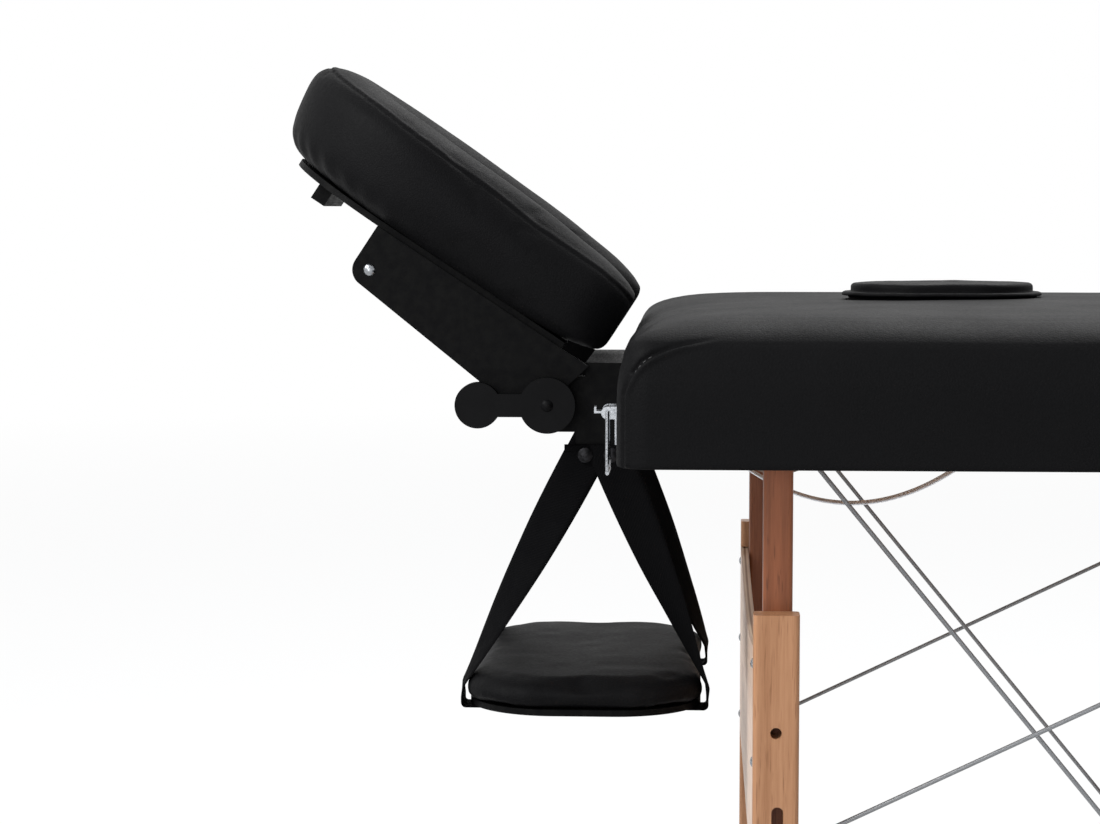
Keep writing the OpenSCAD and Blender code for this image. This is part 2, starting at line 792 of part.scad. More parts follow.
// Lower posts with a slot for the clamp bolts, a spare hole and a rebate for the board
module posts(end) {
    slot_r = clamp_r + slide_gap;
    slot_top = knob_at - leg_out;
    slot_low = knob_at + knob_pitch + leg_in;
    color("#b4865f") leaf_frame(end) {
        for (side = [-1, 1]) {
            translate([leg_at + post_d / 2, post_y(side, end), 0]) difference() {
                translate([0, 0, foot_wall])
                    linear_extrude(height = pivot_z - post_top - foot_wall)
                        rounded_rect(post_d, post_w, ease_r);
                translate([pivot_at - leg_at - post_d / 2, 0, pivot_z]) {
                    for (z = [-slot_top, -slot_low]) {
                        translate([0, 0, z]) across(post_w + over, slot_r);
                    }
                    translate([-slot_r, -post_w, -slot_low])
                        cube([2 * slot_r, 2 * post_w, slot_low - slot_top]);
                }
                translate([0, 0, pivot_z - post_top - spare_down]) across(post_w + over, spare_r);
                translate([
                    -post_d / 2 - over,
                    -side * post_w / 2 - post_w / 2,
                    pivot_z - board_top - board_h])
                    cube([board_t + over, post_w, board_h]);
            }
        }
    }
}

// Cross-board with a hollow upper edge, let into the posts
module board(end) {
    span = post_lane * 2;
    half = span / 2;
    arc_r = (half * half + board_sag * board_sag) / (2 * board_sag);
    color("#c9a287") leaf_frame(end)
        translate([leg_at, -end * leg_stagger, pivot_z - board_top - board_h]) difference() {
            translate([0, -half, 0]) cube([board_t, span, board_h]);
            translate([-over, 0, board_h - board_sag + arc_r])
                rotate([0, 90, 0]) cylinder(h = board_t + 2 * over, r = arc_r, $fn = 96);
        }
}

// Domed bolts through the board into the posts
module board_bolts(end) {
    rows = 3;
    first = 2 * dome_r - over * 2;
    color("#b9bcc0") leaf_frame(end) {
        for (side = [-1, 1]) {
            for (i = [0:rows - 1]) {
                translate([leg_at, post_y(side, end) - side * post_w / 4,
                    pivot_z - board_top - first - i * (board_h - 2 * first) / (rows - 1)])
                    rotate([0, -90, 0]) dome(dome_r / 2, dome_h / 2);
            }
        }
    }
}

module feet(end) {
    color("#1f1f22") leaf_frame(end) {
        for (side = [-1, 1]) {
            translate([leg_at + post_d / 2, post_y(side, end), 0]) difference() {
                linear_extrude(height = foot_h)
                    rounded_rect(post_d + 2 * foot_wall, post_w + 2 * foot_wall, ease_r);
                translate([0, 0, foot_wall])
                    linear_extrude(height = foot_h) rounded_rect(post_d, post_w, ease_r);
            }
        }
    }
}

// Foot of a strut, seen from the end of its leaf
strut_foot = [strut_at - strut_l * sin(strut_lean), pivot_z - strut_l * cos(strut_lean)];

module slats(end) {
    color("#8a5a3a") leaf_frame(end) {
        for (side = [-1, 1]) {
            translate([strut_at, slat_y(side, end), pivot_z]) rotate([0, strut_lean, 0]) difference() {
                union() {
                    across(slat_w, slat_d / 2);
                    translate([-slat_d / 2, -slat_w / 2, -strut_l]) cube([slat_d, slat_w, strut_l]);
                    translate([0, 0, -strut_l]) across(slat_w, slat_d / 2);
                }
                across(slat_w + over, bolt_r + run_gap);
            }
        }
    }
}

module strut_bar(end) {
    span = 2 * slat_lane - slat_w;
    color("#8a5a3a") leaf_frame(end)
        translate([strut_at, -end * strut_stagger, pivot_z]) rotate([0, strut_lean, 0])
            translate([-slat_w / 2, -span / 2, -strut_bar_at - slat_d / 2])
                cube([slat_w, span, slat_d]);
}

// Cables from the two ends of the leaf to an eyelet at the foot of each strut
module strut_cables(end) {
    color("#6b6b6b") leaf_frame(end) {
        for (side = [-1, 1]) {
            y = slat_y(side, end) + side * (slat_w / 2 + cable_d / 2 + slide_gap);
            foot = [strut_foot[0], y, strut_foot[1]];
            translate(foot) across(cable_d, 2 * cable_d);
            for (anchor = [anchor_end, anchor_mid]) {
                top = [anchor, y, cable_z];
                along = (top - foot) / norm(top - foot);
                bar_between(top, foot + 1.5 * cable_d * along, cable_d / 2);
            }
        }
    }
}

// Cable from the lower end of each upper post to the middle of the leaf
module leg_cables(end) {
    color("#6b6b6b") leaf_frame(end) {
        for (side = [-1, 1]) {
            y = post_y(side, end) - side * (stem_step + stem_w / 2 + slide_gap + cable_d / 2);
            x = pivot_at + stem_d / 2 - cable_d;
            z = pivot_z - knob_at + 2 * knob_r;
            bar_between([anchor_leg, y, cable_z], [x, y, z], cable_d / 2);
        }
    }
}

// Parts of the face rest that are drawn in the tilted frame of its axis
module tilt_frame() {
    leaf_frame(1) translate([-tilt_out, 0, tilt_z]) rotate([0, tilt_rest, 0]) children();
}

module rest_pad() {
    color("#26262a") tilt_frame() ring_solid(pad_rings);
}

// Rounded platform with the face opening, and the batten glued under its head end
module rest_platform() {
    color("#17171a") tilt_frame() {
        translate([0, 0, plate_up - plate_t]) linear_extrude(height = plate_t) difference() {
            union() {
                translate([-plate_l + plate_w / 2, 0]) circle(r = plate_w / 2, $fn = 96);
                translate([-plate_l + plate_w / 2, -plate_w / 2])
                    square([plate_l - plate_w / 2 - plate_from, plate_w]);
            }
            translate([-plate_l + plate_w / 2, 0]) circle(r = plate_w / 4);
            translate([-plate_l + plate_w / 2, -plate_w / 4])
                square([plate_l - plate_w / 2, plate_w / 2]);
        }
        translate([-rest_batten_at - stop_t / 2, -plate_w / 4, plate_up - plate_t - stop_h])
            cube([stop_t, plate_w / 2, stop_h]);
    }
}

// Side bracket of the cradle: front corner, lower edge, ear round the axle and top edge
module bracket_shape() {
    top = plate_up - plate_t;
    difference() {
        union() {
            polygon([[-front_at - front_r, top], [-front_at - front_r, front_up],
                [-front_at, front_up - front_r], [-heel_at, -heel_down], [0, 0], [tail_back, top]]);
            translate([-front_at, front_up]) circle(r = front_r);
            circle(r = ear_r);
        }
        circle(r = axle_r);
        translate([-front_at, front_up]) circle(r = axle_r / 2);
    }
}

module rest_brackets() {
    color("#141416") tilt_frame() each_side() {
        translate([0, bracket_lane, 0]) upright(bracket_t) bracket_shape();
    }
}

module rest_bracket_bolts() {
    color("#c6c9cd") tilt_frame() each_side() {
        translate([-front_at, bracket_lane, front_up]) {
            across(bracket_t, axle_r / 2);
            translate([0, bracket_t / 2, 0]) rotate([-90, 0, 0]) dome(axle_r, axle_r / 2);
        }
    }
}

// Light metal clip strips under the platform
module rest_clip() {
    color("#9a9da1") tilt_frame() each_side() {
        translate([-clip_l - plate_from, plate_w / 2 - clip_w - bracket_t, plate_up - plate_t - hinge_t])
            cube([clip_l, clip_w, hinge_t]);
    }
}

// Cheeks between the tilt axle and the head end
module rest_cheeks() {
    low = tilt_z - boss_r;
    high = tilt_z + boss_r + lever_t;
    color("#141416") leaf_frame(1) each_side() {
        translate([0, cheek_lane + cheek_t / 2, 0]) difference() {
            upright(cheek_t) {
                translate([-tilt_out, tilt_z]) circle(r = boss_r);
                translate([-tilt_out, low]) square([tilt_out - leaf_gap, 2 * boss_r]);
                translate([-hang_out, low]) square([hang_out - leaf_gap, high - low]);
                translate([-hang_out - hang_r, hang_z])
                    square([hang_out - rear_out + 2 * hang_r, low - hang_z + over]);
                translate([-hang_out, hang_z - hang_r]) square([hang_out - rear_out, 2 * hang_r]);
                for (out = [hang_out, rear_out]) {
                    translate([-out, hang_z]) circle(r = hang_r);
                }
            }
            translate([-tilt_out, 0, tilt_z]) across(cheek_t + over, axle_r + run_gap);
            for (out = [hang_out, rear_out]) {
                translate([-out, 0, hang_z]) across(cheek_t + over, pin_r);
            }
        }
    }
}

module rest_crossbar() {
    color("#141416") leaf_frame(1) difference() {
        translate([-hang_out, -cheek_lane, tilt_z - boss_r])
            cube([hang_out - leaf_gap, 2 * cheek_lane, 2 * boss_r + lever_t]);
        for (side = [-1, 1]) {
            translate([-hang_out - over, side * rod_lane, pivot_z])
                rotate([0, 90, 0]) cylinder(h = hang_out + over, r = rod_r);
        }
    }
}

module rest_rods() {
    color("#8f9296") leaf_frame(1) {
        for (side = [-1, 1]) {
            translate([-hang_out, side * rod_lane, pivot_z]) rotate([0, 90, 0]) {
                cylinder(h = hang_out + rod_in, r = rod_r);
            }
        }
    }
}

// Axle through both brackets and cheeks, and the screws that hold the shelf straps to the cheeks
module rest_fasteners() {
    stack = cheek_t + 2 * strap_t + 3 * slide_gap;
    color("#8f9296") {
        tilt_frame() across(2 * (bracket_lane + bracket_t / 2), axle_r);
        leaf_frame(1) each_side() {
            strap_screw(hang_out, stack);
            strap_screw(rear_out, stack);
        }
    }
}

module strap_screw(out, stack) {
    translate([-out, cheek_lane, hang_z]) rotate([-90, 0, 0]) {
        cylinder(h = stack, r = pin_r);
        translate([0, 0, stack]) dome(2 * pin_r, pin_r / 2);
    }
}

// Dog-bone lever with a small bolt head on its boss
module clamp_lever(side) {
    color("#161618") leaf_frame(1) mirror([0, side > 0 ? 0 : 1, 0])
        translate([-tilt_out, lever_lane + lever_t / 2, tilt_z]) {
            upright(lever_t) {
                circle(r = boss_r);
                translate([-lever_l, 0]) circle(r = grip_r);
                translate([-lever_l, -grip_r / 2]) square([lever_l, grip_r]);
            }
            translate([0, lever_t / 2, 0]) rotate([-90, 0, 0]) dome(axle_r, axle_r / 2);
        }
}

module shelf_board() {
    color("#141416") leaf_frame(1) translate([-hang_out, 0, shelf_z - shelf_t - shelf_board_t])
        linear_extrude(height = shelf_board_t)
            rounded_rect(shelf_l - 4 * strap_t, shelf_w - 4 * strap_t, shelf_r);
}

module shelf_pad() {
    color("#26262a") leaf_frame(1) translate([-hang_out, 0, shelf_z - shelf_t])
        padded_block(shelf_l, shelf_w, shelf_r, shelf_t, shelf_t * shelf_round_share, strap_t, strap_t);
}

// Four straps from the cheeks, which twist a quarter turn and wrap under the shelf.
// Their upper ends lie below the leaf, so that they clear it as the shelf swings.
module shelf_straps() {
    steps = 16;
    lane_top = cheek_lane + cheek_t + slide_gap + strap_t / 2;
    low = shelf_z - shelf_t - shelf_board_t - strap_t / 2 - slide_gap;
    edge = shelf_l / 2 + strap_t / 2 + slide_gap;
    top = hang_z + strap_w / 4;
    drop = top - shelf_z;
    hung = (top - hang_z) / drop;
    color("#161618") leaf_frame(1) translate([-hang_out, 0, 0]) each_side() difference() {
        for (way = [-1, 1]) {
            apart = way > 0 ? strap_t + slide_gap : 0;
            from = way > 0 ? hang_out - rear_out : 0;
            down = [for (i = [0:steps]) let(
                share = i / steps,
                ease = share * share * (3 - 2 * share),
                lean = max(0, share - hung) / (1 - hung),
                out = lerp(from, way * edge, lean),
                lane = lerp(lane_top, strap_lane, ease) + apart,
                twist = 90 * min(1, max(0, (share - twist_shares[0]) / (twist_shares[1] - twist_shares[0]))),
                d = [way * edge - from, (strap_lane - lane_top) * 6 * share * (1 - share), -drop],
                w = [cos(twist), sin(twist), 0],
                n = cross(w, d))
                [[out, lane, lerp(top, shelf_z, share)], w, n / norm(n)]];
            wrap = [
                [[way * edge, strap_lane + apart, low], [0, 1, 0], [-1, 0, way]],
                [[way * (edge - strap_w), strap_lane + apart, low], [0, 1, 0], [0, 0, way]]];
            ribbon(concat(down, wrap), strap_w, strap_t);
        }
        for (at = [0, hang_out - rear_out]) {
            translate([at, lane_top, hang_z]) across(strap_w, pin_r + eyelet_gap);
        }
    }
}

// Barrel, lip and pin of a latch lever
module latch_lever(side) {
    color("#d2d5d8") leaf_frame(1) mirror([0, side > 0 ? 0 : 1, 0])
        translate([-latch_t - barrel_out, latch_lane, top_h - barrel_down]) {
            across(latch_w - 2 * latch_t - 2 * slide_gap, barrel_r - slide_gap);
            across(latch_w, bail_r);
            translate([-lip_l, -latch_w / 4, -latch_t / 2]) cube([lip_l, latch_w / 2, latch_t]);
            translate([-lip_l, -latch_w / 4, -latch_t / 2]) cube([latch_t, latch_w / 2, 3 * latch_t]);
        }
}

// Wire bail that hangs from a barrel
module latch_bail(side) {
    half = latch_w / 2 + bail_r + slide_gap;
    color("#d2d5d8") leaf_frame(1) mirror([0, side > 0 ? 0 : 1, 0])
        translate([-latch_t - barrel_out, latch_lane, top_h - barrel_down]) {
            for (s = [-1, 1]) {
                translate([0, s * half, -bail_l]) cylinder(h = bail_l + bail_r, r = bail_r);
            }
            translate([0, 0, -bail_l]) across(2 * half + 2 * bail_r, bail_r);
        }
}

head_cushion();
cover(1);  // head_cover
rails(1);  // head_rails
panel(1);  // head_panel
hangers(1);  // head_hangers
sockets(1);  // head_sockets
pivot_bolts(1);  // head_pivot_bolts
handle(1);  // head_handle
hinges(1);  // head_hinges
latch_plates();
webbing_tie();
cushion(-1);  // foot_cushion
cover(-1);  // foot_cover
rails(-1);  // foot_rails
panel(-1);  // foot_panel
hangers(-1);  // foot_hangers
sockets(-1);  // foot_sockets
pivot_bolts(-1);  // foot_pivot_bolts
handle(-1);  // foot_handle
hinges(-1);  // foot_hinges
catch_plates();
face_plug();
stems(1);  // head_leg_stems
knobs(1);  // head_leg_knobs
posts(1);  // head_leg_posts
board(1);  // head_leg_board
board_bolts(1);  // head_leg_bolts
feet(1);  // head_leg_feet
leg_cables(1);  // head_leg_cables
slats(1);  // head_strut_slats
strut_bar(1);  // head_strut_bar
strut_cables(1);  // head_strut_cables
stems(-1);  // foot_leg_stems
knobs(-1);  // foot_leg_knobs
posts(-1);  // foot_leg_posts
board(-1);  // foot_leg_board
board_bolts(-1);  // foot_leg_bolts
feet(-1);  // foot_leg_feet
leg_cables(-1);  // foot_leg_cables
slats(-1);  // foot_strut_slats
strut_bar(-1);  // foot_strut_bar
strut_cables(-1);  // foot_strut_cables
rest_rods();
rest_cheeks();
rest_crossbar();
rest_fasteners();
rest_pad();
rest_platform();
rest_brackets();
rest_bracket_bolts();
rest_clip();
clamp_lever(-1);  // clamp_lever_near
clamp_lever(1);  // clamp_lever_far
shelf_pad();
shelf_board();
shelf_straps();
latch_bail(-1);  // latch_bail_near
latch_bail(1);  // latch_bail_far
latch_lever(-1);  // latch_lever_near
latch_lever(1);  // latch_lever_far
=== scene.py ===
import math
import bmesh
import bpy
import numpy as np
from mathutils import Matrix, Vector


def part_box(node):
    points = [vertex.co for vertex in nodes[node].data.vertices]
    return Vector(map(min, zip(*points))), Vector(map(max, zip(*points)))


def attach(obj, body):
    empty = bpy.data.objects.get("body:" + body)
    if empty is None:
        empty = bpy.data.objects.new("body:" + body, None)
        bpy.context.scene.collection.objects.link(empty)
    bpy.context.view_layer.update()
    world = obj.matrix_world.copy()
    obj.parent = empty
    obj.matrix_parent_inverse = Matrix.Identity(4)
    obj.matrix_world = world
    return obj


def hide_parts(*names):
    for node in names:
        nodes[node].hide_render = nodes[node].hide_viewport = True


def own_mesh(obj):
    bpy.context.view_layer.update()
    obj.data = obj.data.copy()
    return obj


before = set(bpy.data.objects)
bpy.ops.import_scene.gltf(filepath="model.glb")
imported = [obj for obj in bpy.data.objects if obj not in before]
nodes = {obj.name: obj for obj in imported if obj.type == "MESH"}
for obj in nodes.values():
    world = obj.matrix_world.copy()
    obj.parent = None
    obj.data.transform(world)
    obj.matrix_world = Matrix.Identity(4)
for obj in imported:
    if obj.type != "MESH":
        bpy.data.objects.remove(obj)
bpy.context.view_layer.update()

scene = bpy.context.scene
mm = 0.001

# Places that the CAD's sizes give, in mm of the row frame: t runs from a leaf's outer end to the middle
place = dict(headEnd=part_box("head_cushion")[0][0] / mm, footEnd=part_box("foot_cushion")[1][0] / mm, midY=-12.0,
             leafLong=929.0, wide=680.0, top=700.0, crown=4.0, panelUnder=650.0,
             tiltOut=62.0, tiltZ=619.0, tilt=33.5, holeAt=262.0, holeLong=156.0, holeWide=116.0)


# Leaf points (t, y, z) in mm to row points in metres
def atLeaf(end, points):
    p = np.asarray(points, float)
    x = place["headEnd"] + p[..., 0] if end == "head" else place["footEnd"] - p[..., 0]
    return np.stack([x, p[..., 1] + place["midY"], p[..., 2]], -1) * mm


# Points of the tilted face rest in mm to row points in metres
def atTilt(points):
    p = np.asarray(points, float)
    c, s = math.cos(math.radians(place["tilt"])), math.sin(math.radians(place["tilt"]))
    return atLeaf("head", np.stack([p[..., 0] * c + p[..., 2] * s - place["tiltOut"], p[..., 1],
                                    p[..., 2] * c - p[..., 0] * s + place["tiltZ"]], -1))


# Camera, from the photograph's vanishing lines and the table's near edge
print("stage: camera and cords")
cameraFacts = dict(at=(place["headEnd"] * mm + 0.060, -2.232, 0.777), down=4.43, left=3.26,
                   lens=86.07, sensor=36.0, reach=60.0)
cameraData = bpy.data.cameras.new("camera")
cameraData.lens = cameraFacts["lens"]
cameraData.sensor_width = cameraFacts["sensor"]
cameraData.sensor_fit = "HORIZONTAL"
cameraData.clip_end = cameraFacts["reach"]
camera = bpy.data.objects.new("camera", cameraData)
camera.location = cameraFacts["at"]
camera.rotation_euler = (math.radians(90 - cameraFacts["down"]), 0.0, math.radians(cameraFacts["left"]))
scene.collection.objects.link(camera)
scene.camera = camera
# Cords: none is free. The ropes under the leaves are held at both ends, so they are made below as held pieces.


# sRGB hex to the linear colour that the shader wants
def linear(code):
    v = [int(code[i:i + 2], 16) / 255 for i in (1, 3, 5)]
    return tuple(c / 12.92 if c <= 0.04045 else ((c + 0.055) / 1.055) ** 2.4 for c in v) + (1.0,)


# Texture scale whose cell is this many mm
def perMetre(size):
    return 1000.0 / size


# Adds one node, sets its inputs or properties and links its inputs; a node as a source stands for its first output
def addNode(tree, kind, settings=(), links=()):
    node = tree.nodes.new("ShaderNode" + kind)
    for key, value in dict(settings).items():
        if isinstance(key, int) or key in node.inputs:
            node.inputs[key].default_value = value
        else:
            setattr(node, key, value)
    for key, source in dict(links).items():
        tree.links.new(getattr(source, "outputs", [source])[0], node.inputs[key])
    return node


# A material, its empty tree, and the socket with the piece's own coordinates
def newMaterial(name):
    material = bpy.data.materials.new(name)
    material.use_nodes = True
    tree = material.node_tree
    tree.nodes.clear()
    return material, tree, addNode(tree, "TexCoord").outputs["Object"]


# The end of a material: roughness by wear, a relief of depth mm by height, and the shader with its own settings
def finishMaterial(material, facts, colour, wear, height, strength, settings=()):
    tree = material.node_tree
    low, high = facts["rough"]
    rough = addNode(tree, "MapRange", {1: 0.3, 2: 0.7, 3: low, 4: high}, {0: wear})
    bump = addNode(tree, "Bump", {"Strength": strength, "Distance": facts["depth"] * mm}, {"Height": height})
    shader = addNode(tree, "BsdfPrincipled", settings,
                     {"Base Color": colour.outputs[2], "Roughness": rough, "Normal": bump})
    addNode(tree, "OutputMaterial", (), {0: shader})
    return material


# Settings of a colour mix between two hex codes
def between(a, b):
    return {"data_type": "RGBA", 6: linear(a), 7: linear(b)}


# Scale that draws a pattern out along one axis
def drawnOut(axis, share):
    return tuple(share if k == axis else 1.0 for k in range(3))


print("stage: materials")
# Embossed PVC leatherette: near black, pebbled in cells of about 1.3 mm, with a painted highlight on the tops of the
# pebbles
leather = dict(base="#080809", pebbleHighlight="#101011", rough=(0.50, 0.64), shine=0.045,
               cell=1.35, fine=0.45, warp=3.0, drift=2.4, driftBy=0.9, broad=70.0, depth=0.2)


def makeLeather(name, facts):
    material, tree, own = newMaterial(name)
    # a small drift keeps the pebbles from lying in rows
    drift = addNode(tree, "TexNoise", {"Scale": perMetre(facts["drift"]), "Detail": 1.0}, {"Vector": own})
    step = addNode(tree, "VectorMath", {"operation": "SCALE", "Scale": facts["driftBy"] * mm}, {0: drift.outputs[1]})
    moved = addNode(tree, "VectorMath", {"operation": "ADD"}, {0: own, 1: step})
    cells = addNode(tree, "TexVoronoi", {"feature": "SMOOTH_F1", "Scale": perMetre(facts["cell"]), "Smoothness": 0.6},
                    {"Vector": moved})
    pebble = addNode(tree, "MapRange", {1: 0.0, 2: 0.75, 3: 1.0, 4: 0.0}, {0: cells})
    fine = addNode(tree, "TexNoise", {"Scale": perMetre(facts["fine"]), "Detail": 2.0}, {"Vector": own})
    warp = addNode(tree, "TexNoise", {"Scale": perMetre(facts["warp"]), "Detail": 2.0}, {"Vector": own})
    broad = addNode(tree, "TexNoise", {"Scale": perMetre(facts["broad"]), "Detail": 3.0}, {"Vector": own})
    # colour: the pebbles' tops are painted lighter as a painted highlight, mixed half with a slow random tone
    tone = addNode(tree, "Mix", {0: 0.5}, {2: pebble, 3: broad})
    handled = addNode(tree, "Mix", {0: 0.5}, {2: warp, 3: broad})
    colour = addNode(tree, "Mix", between(facts["base"], facts["pebbleHighlight"]), {0: tone})
    grain = addNode(tree, "Math", {"operation": "MULTIPLY_ADD", 1: 0.25}, {0: fine, 2: pebble})
    return finishMaterial(material, facts, colour, handled, grain, 0.8, {"Specular IOR Level": facts["shine"]})


# Steamed beech under clear lacquer: warm tan, fine long grain and the short dark flecks that mark the wood
grainFacts = dict(drawn=0.045, bandDrawn=0.012, band=9.0, grain=1.6, fleck=1.05, pore=0.35)
beechFacts = {
    "post": dict(pale="#aa7e5d", deep="#906546", fleck="#734b31", rough=(0.34, 0.48), depth=0.05),
    "dark": dict(pale="#824d31", deep="#683a22", fleck="#4a2815", rough=(0.32, 0.46), depth=0.05),
    "rail": dict(pale="#c79f76", deep="#ab8059", fleck="#8a603c", rough=(0.36, 0.5), depth=0.05),
}
lacquer = {"Specular IOR Level": 0.2, "Coat Weight": 0.1, "Coat Roughness": 0.22}


# axis is the way that the grain runs
def makeBeech(name, facts, axis):
    g = grainFacts
    material, tree, own = newMaterial(name)
    slow = addNode(tree, "Mapping", {"Scale": drawnOut(axis, g["bandDrawn"])}, {"Vector": own})
    drawn = addNode(tree, "Mapping", {"Scale": drawnOut(axis, g["drawn"])}, {"Vector": own})
    bands = addNode(tree, "TexNoise", {"Scale": perMetre(g["band"]), "Detail": 3.0, "Distortion": 0.6},
                    {"Vector": slow})
    grain = addNode(tree, "TexNoise", {"Scale": perMetre(g["grain"]), "Detail": 5.0, "Roughness": 0.62},
                    {"Vector": drawn})
    flecks = addNode(tree, "TexNoise", {"Scale": perMetre(g["fleck"]), "Detail": 1.0}, {"Vector": drawn})
    pores = addNode(tree, "TexNoise", {"Scale": perMetre(g["pore"]), "Detail": 1.0}, {"Vector": drawn})
    both = addNode(tree, "Mix", {0: 0.4}, {2: bands, 3: grain})
    tone = addNode(tree, "MapRange", {1: 0.36, 2: 0.64}, {0: both})
    wood = addNode(tree, "Mix", between(facts["pale"], facts["deep"]), {0: tone})
    marks = addNode(tree, "MapRange", {1: 0.62, 2: 0.70, 4: 0.55}, {0: flecks})
    colour = addNode(tree, "Mix", {"data_type": "RGBA", 7: linear(facts["fleck"])}, {0: marks, 6: wood.outputs[2]})
    height = addNode(tree, "Math", {"operation": "MULTIPLY_ADD", 1: 0.5}, {0: flecks, 2: pores})
    return finishMaterial(material, facts, colour, grain, height, 0.5, lacquer)


# Plywood: faces with slow figure, and thin dark plies between them where the edge shows
plyFacts = {
    "panel": dict(face="#b7a08c", faceDeep="#a28a78", plyDark="#7d6250", plyPale="#c4ad96", rough=(0.42, 0.58),
                  ply=1.4, depth=0.06),
    "board": dict(face="#c3ab95", faceDeep="#b2988a", plyDark="#8d6e58", plyPale="#c8b39d", rough=(0.42, 0.56),
                  ply=1.75, depth=0.06),
    "hanger": dict(face="#8f7f70", faceDeep="#786859", rough=(0.45, 0.6), depth=0.06),
}
veneerFacts = dict(drawn=0.05, figure=5.0, fine=0.9, thick=1.0, blur=0.1)


# axis is the board's thickness; with a board's node the plies are stacked between its two face veneers
def makePly(name, facts, axis, grainAxis, board=None):
    v = veneerFacts
    material, tree, own = newMaterial(name)
    drawn = addNode(tree, "Mapping", {"Scale": drawnOut(grainAxis, v["drawn"])}, {"Vector": own})
    figure = addNode(tree, "TexNoise", {"Scale": perMetre(v["figure"]), "Detail": 4.0, "Roughness": 0.6,
                     "Distortion": 0.4}, {"Vector": drawn})
    fine = addNode(tree, "TexNoise", {"Scale": perMetre(v["fine"]), "Detail": 3.0}, {"Vector": drawn})
    both = addNode(tree, "Mix", {0: 0.4}, {2: figure, 3: fine})
    tone = addNode(tree, "MapRange", {1: 0.38, 2: 0.62}, {0: both})
    colour = addNode(tree, "Mix", between(facts["face"], facts["faceDeep"]), {0: tone})
    if board:
        low, high = (corner[axis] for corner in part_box(board))
        at = addNode(tree, "SeparateXYZ", (), {0: own}).outputs[axis]
        away = addNode(tree, "Math", {"operation": "SUBTRACT", 1: (low + high) / 2}, {0: at})
        depth = addNode(tree, "Math", {"operation": "ABSOLUTE"}, {0: away})
        turn = addNode(tree, "Math", {"operation": "MULTIPLY", 1: math.pi * perMetre(facts["ply"])}, {0: depth})
        stack = addNode(tree, "Math", {"operation": "COSINE"}, {0: turn})
        dark = addNode(tree, "MapRange", {1: -0.3, 2: 0.3}, {0: stack})
        plies = addNode(tree, "Mix", between(facts["plyPale"], facts["plyDark"]), {0: dark})
        inner, outer = ((high - low) / 2 - (v["thick"] + blur) * mm for blur in (v["blur"], -v["blur"]))
        veneer = addNode(tree, "MapRange", {1: inner, 2: outer}, {0: depth})
        colour = addNode(tree, "Mix", {"data_type": "RGBA"}, {0: veneer, 6: plies.outputs[2], 7: colour.outputs[2]})
    return finishMaterial(material, facts, colour, figure, fine, 0.4)


# Plywood under black stain: the grain still shows as a faint relief
stainFacts = dict(deep="#070708", pale="#0d0d0d", rough=(0.42, 0.62), shine=0.04, drawn=0.06, grain=1.4, figure=8.0,
                  depth=0.06)


def makeBlackPly(name, facts):
    material, tree, own = newMaterial(name)
    drawn = addNode(tree, "Mapping", {"Scale": drawnOut(1, facts["drawn"])}, {"Vector": own})
    grain = addNode(tree, "TexNoise", {"Scale": perMetre(facts["grain"]), "Detail": 4.0}, {"Vector": drawn})
    figure = addNode(tree, "TexNoise", {"Scale": perMetre(facts["figure"]), "Detail": 3.0}, {"Vector": drawn})
    tone = addNode(tree, "MapRange", {1: 0.35, 2: 0.65}, {0: figure})
    colour = addNode(tree, "Mix", between(facts["deep"], facts["pale"]), {0: tone})
    return finishMaterial(material, facts, colour, grain, grain, 0.5, {"Specular IOR Level": facts["shine"]})


# Metals: the chrome plate is painted darker than bright chrome, painted shade for the dark surroundings that it
# mirrors, and has fine polishing marks; zinc plate is greyer with a soft spangle
metalFacts = {
    # the chrome's colours are painted darker than its plate, as painted shade
    "chrome": dict(pale="#a3a6aa", deep="#7c7f83", rough=(0.16, 0.30), size=1.2, mark=0.4, depth=0.01),
    "zinc": dict(pale="#8f9296", deep="#74777b", rough=(0.26, 0.44), size=4.0, mark=0.4, depth=0.02),
    "black": dict(pale="#2a2a2c", deep="#19191a", rough=(0.34, 0.5), size=2.0, mark=0.4, depth=0.02),
}


def makeMetal(name, facts):
    material, tree, own = newMaterial(name)
    spangle = addNode(tree, "TexVoronoi", {"Scale": perMetre(facts["size"])}, {"Vector": own})
    tone = addNode(tree, "SeparateColor", (), {0: spangle.outputs[1]})
    drawn = addNode(tree, "Mapping", {"Scale": drawnOut(1, 0.08)}, {"Vector": own})
    marks = addNode(tree, "TexNoise", {"Scale": perMetre(facts["mark"]), "Detail": 3.0}, {"Vector": drawn})
    wear = addNode(tree, "Mix", {0: 0.6}, {2: tone, 3: marks})
    colour = addNode(tree, "Mix", between(facts["deep"], facts["pale"]), {0: tone})
    return finishMaterial(material, facts, colour, wear, marks, 0.4, {"Metallic": 1.0})


# Moulded plastic has a spark-eroded skin, rubber a duller and coarser one
mouldFacts = {
    "plastic": dict(pale="#0c0c0d", deep="#070708", rough=(0.38, 0.52), shine=0.05, size=0.6, wear=22.0, depth=0.04),
    "rubber": dict(pale="#262626", deep="#1a1a1a", rough=(0.68, 0.85), shine=0.05, size=1.1, wear=22.0, depth=0.08),
}


def makeMould(name, facts):
    material, tree, own = newMaterial(name)
    skin = addNode(tree, "TexNoise", {"Scale": perMetre(facts["size"]), "Detail": 3.0}, {"Vector": own})
    wear = addNode(tree, "TexNoise", {"Scale": perMetre(facts["wear"]), "Detail": 4.0}, {"Vector": own})
    tone = addNode(tree, "MapRange", {1: 0.35, 2: 0.65}, {0: wear})
    colour = addNode(tree, "Mix", between(facts["deep"], facts["pale"]), {0: tone})
    return finishMaterial(material, facts, colour, wear, skin, 0.6, {"Specular IOR Level": facts["shine"]})


